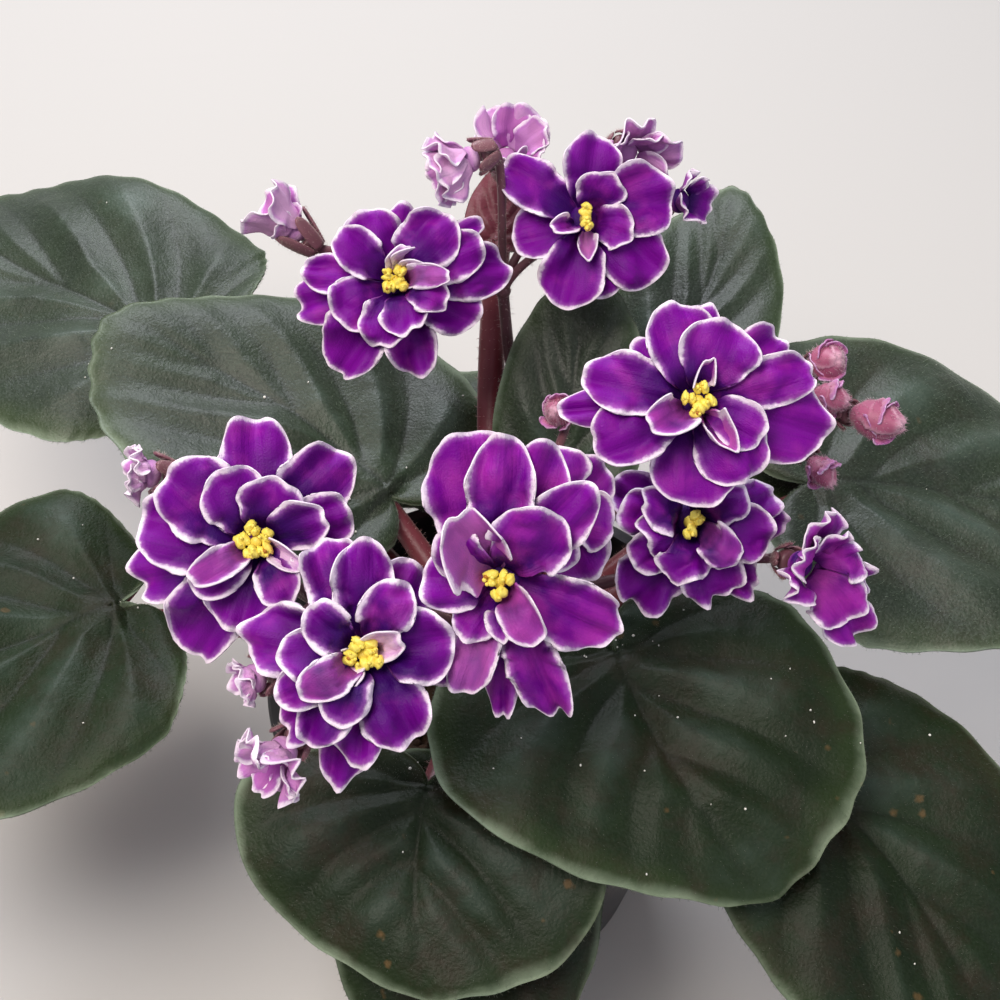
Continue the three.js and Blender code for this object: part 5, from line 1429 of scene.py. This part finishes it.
class VIOLET_OT_crown(bpy.types.Operator):
    """Builds the crown's neck and every leaf stalk"""

    bl_idname = "violet.crown"
    bl_label = "Crown and leaf stalks"

    def execute(self, context):
        rng = np.random.default_rng(3)
        shape = Shape("along")
        neck = [(0, NECK_BOTTOM), (NECK_RADIUS - 1, NECK_BOTTOM), (NECK_RADIUS, NECK_BOTTOM + 1)]
        neck += [(NECK_RADIUS - 0.25 * math.sin(4 * z) ** 2, z) for z in range(60, NECK_TOP - 2)]
        neck += [(NECK_RADIUS - 1, NECK_TOP), (0, NECK_TOP)]
        shape.add(*turned(neck, 40), along=-0.4)
        unit, faces = ball(16, 30)
        knobs = 1 + 0.05 * np.sin(5 * unit[:, :1] + 4 * unit[:, 1:2]) * np.sin(7 * unit[:, 2:])
        dome = unit * knobs * [CROWN_RADIUS, CROWN_RADIUS, CROWN_HALF_HEIGHT] * 0.96
        shape.add(dome + [0, 0, NECK_TOP], faces, along=-0.2)
        for name, leaf in LEAVES.items():
            girth = THICKER_STALKS.get(name, 1)
            along, _, out = leaf_directions(leaf)
            hub = np.array(leaf["hub"], float)
            flat = direction(hub[0], hub[1], 0)
            start = 3 * flat + [0, 0, leaf["root"]]
            under = girth * PETIOLE_TIP_RADIUS + LEAF_THICKNESS / 2 + GAP
            end = hub + along * 5 - out * under
            span = np.linalg.norm(end - start)
            path = bezier(start, start + 0.4 * span * flat + [0, 0, 4],
                          end - along * 0.32 * span - out * 0.12 * span, end, 44)
            share = np.linspace(0, 1, len(path))
            radii = girth * (PETIOLE_ROOT_RADIUS * (1 - share) + PETIOLE_TIP_RADIUS * share)
            add_hairy_bar(shape, path, radii * (1.04 - 0.5 * smooth(0.93, 1.0, share)), 18, rng,
                          0.12, 0.7 * share)
        materials = [stalk_finish("red_leaf_stalk", colours().leaf_stalk, "#94505a"),
                     down_finish("leaf_stalk_down", "#d9b9b0", "#a26a66")]
        shape.piece("crown_grown", materials, "crown_and_leaf_stalks")
        return {"FINISHED"}


# ---------------------------------------------------------------- stage

VIEW_TARGET = (1, 19, 111)
VIEW_RISE = 50  # degrees above the horizon
VIEW_DISTANCE = 310
VIEW_LENS = 55.4
FLOOR_WIDTH = 6  # metres
ROOM_LIGHT = 0.35
# name, place and size in metres, power in watts, colour
LIGHTS = (("key", (-0.3, -0.2, 0.95), 0.5, 8, "#fff6ec"),
          ("fill", (0.75, -0.55, 0.6), 0.9, 2.5, "#eaf1ff"),
          ("back", (-0.15, 0.75, 0.8), 0.45, 8, "#f4f6ff"))


def add_light(name, place, size, power, shade):
    """A soft square light that looks at the plant."""
    light = bpy.data.lights.new(name, "AREA")
    light.size = size
    light.energy = power
    light.color = linear(shade)[:3]
    lamp = bpy.data.objects.new(name, light)
    lamp.location = place
    aim = Vector(VIEW_TARGET) * MM - lamp.location
    lamp.rotation_euler = aim.to_track_quat("-Z", "Y").to_euler()
    bpy.context.scene.collection.objects.link(lamp)


class VIOLET_OT_stage(bpy.types.Operator):
    """Lays the pale floor and sets the soft lights and the camera"""

    bl_idname = "violet.stage"
    bl_label = "Stage"

    def execute(self, context):
        bpy.ops.mesh.primitive_plane_add(size=FLOOR_WIDTH)
        floor = bpy.context.object
        floor.name = "floor"
        board, *_ = new_finish("matt_pale_board")
        floor.data.materials.append(
            finished(board, linear("#c6c3bf"), [], None, {"Roughness": 0.9}))
        for light in LIGHTS:
            add_light(*light)
        world = bpy.data.worlds.new("studio")
        world.use_nodes = True
        background = world.node_tree.nodes["Background"]
        background.inputs["Color"].default_value = linear("#e8eaee")
        background.inputs["Strength"].default_value = ROOM_LIGHT
        scene = context.scene
        scene.world = world
        scene.view_settings.view_transform = "Standard"
        camera = bpy.data.cameras.new("camera")
        camera.lens = VIEW_LENS
        camera.clip_start = 0.01
        eye = bpy.data.objects.new("camera", camera)
        rise = math.radians(VIEW_RISE)
        back = Vector((0, -math.cos(rise), math.sin(rise))) * VIEW_DISTANCE
        eye.location = (Vector(VIEW_TARGET) + back) * MM
        eye.rotation_euler = (-back).to_track_quat("-Z", "Y").to_euler()
        scene.collection.objects.link(eye)
        scene.camera = eye
        return {"FINISHED"}


# ---------------------------------------------------------------- panel and registration

STEPS = (VIOLET_OT_stage, VIOLET_OT_pot, VIOLET_OT_potting_mix, VIOLET_OT_crown,
         VIOLET_OT_leaves, VIOLET_OT_flower_stalks, VIOLET_OT_blooms, VIOLET_OT_pollen,
         VIOLET_OT_buds)


class VIOLET_PT_panel(bpy.types.Panel):
    """Lists the settings and the steps in the sidebar"""

    bl_label = "Potted African Violet"
    bl_idname = "VIOLET_PT_panel"
    bl_space_type = "VIEW_3D"
    bl_region_type = "UI"
    bl_category = "Violet"

    def draw(self, context):
        for group in (context.scene.violet_sizes, context.scene.violet_colours):
            box = self.layout.box()
            for setting in group.__annotations__:
                box.prop(group, setting)
        for step in STEPS:
            self.layout.operator(step.bl_idname)


CLASSES = (VioletSizes, VioletColours, *STEPS, VIOLET_PT_panel)


def register():
    for cls in CLASSES:
        bpy.utils.register_class(cls)
    bpy.types.Scene.violet_sizes = bpy.props.PointerProperty(type=VioletSizes)
    bpy.types.Scene.violet_colours = bpy.props.PointerProperty(type=VioletColours)


def unregister():
    del bpy.types.Scene.violet_colours
    del bpy.types.Scene.violet_sizes
    for cls in reversed(CLASSES):
        bpy.utils.unregister_class(cls)


def main():
    """Builds the plant step by step."""
    register()
    for step in STEPS:
        group, name = step.bl_idname.split(".")
        getattr(getattr(bpy.ops, group), name)()


if __name__ == "__main__":
    main()
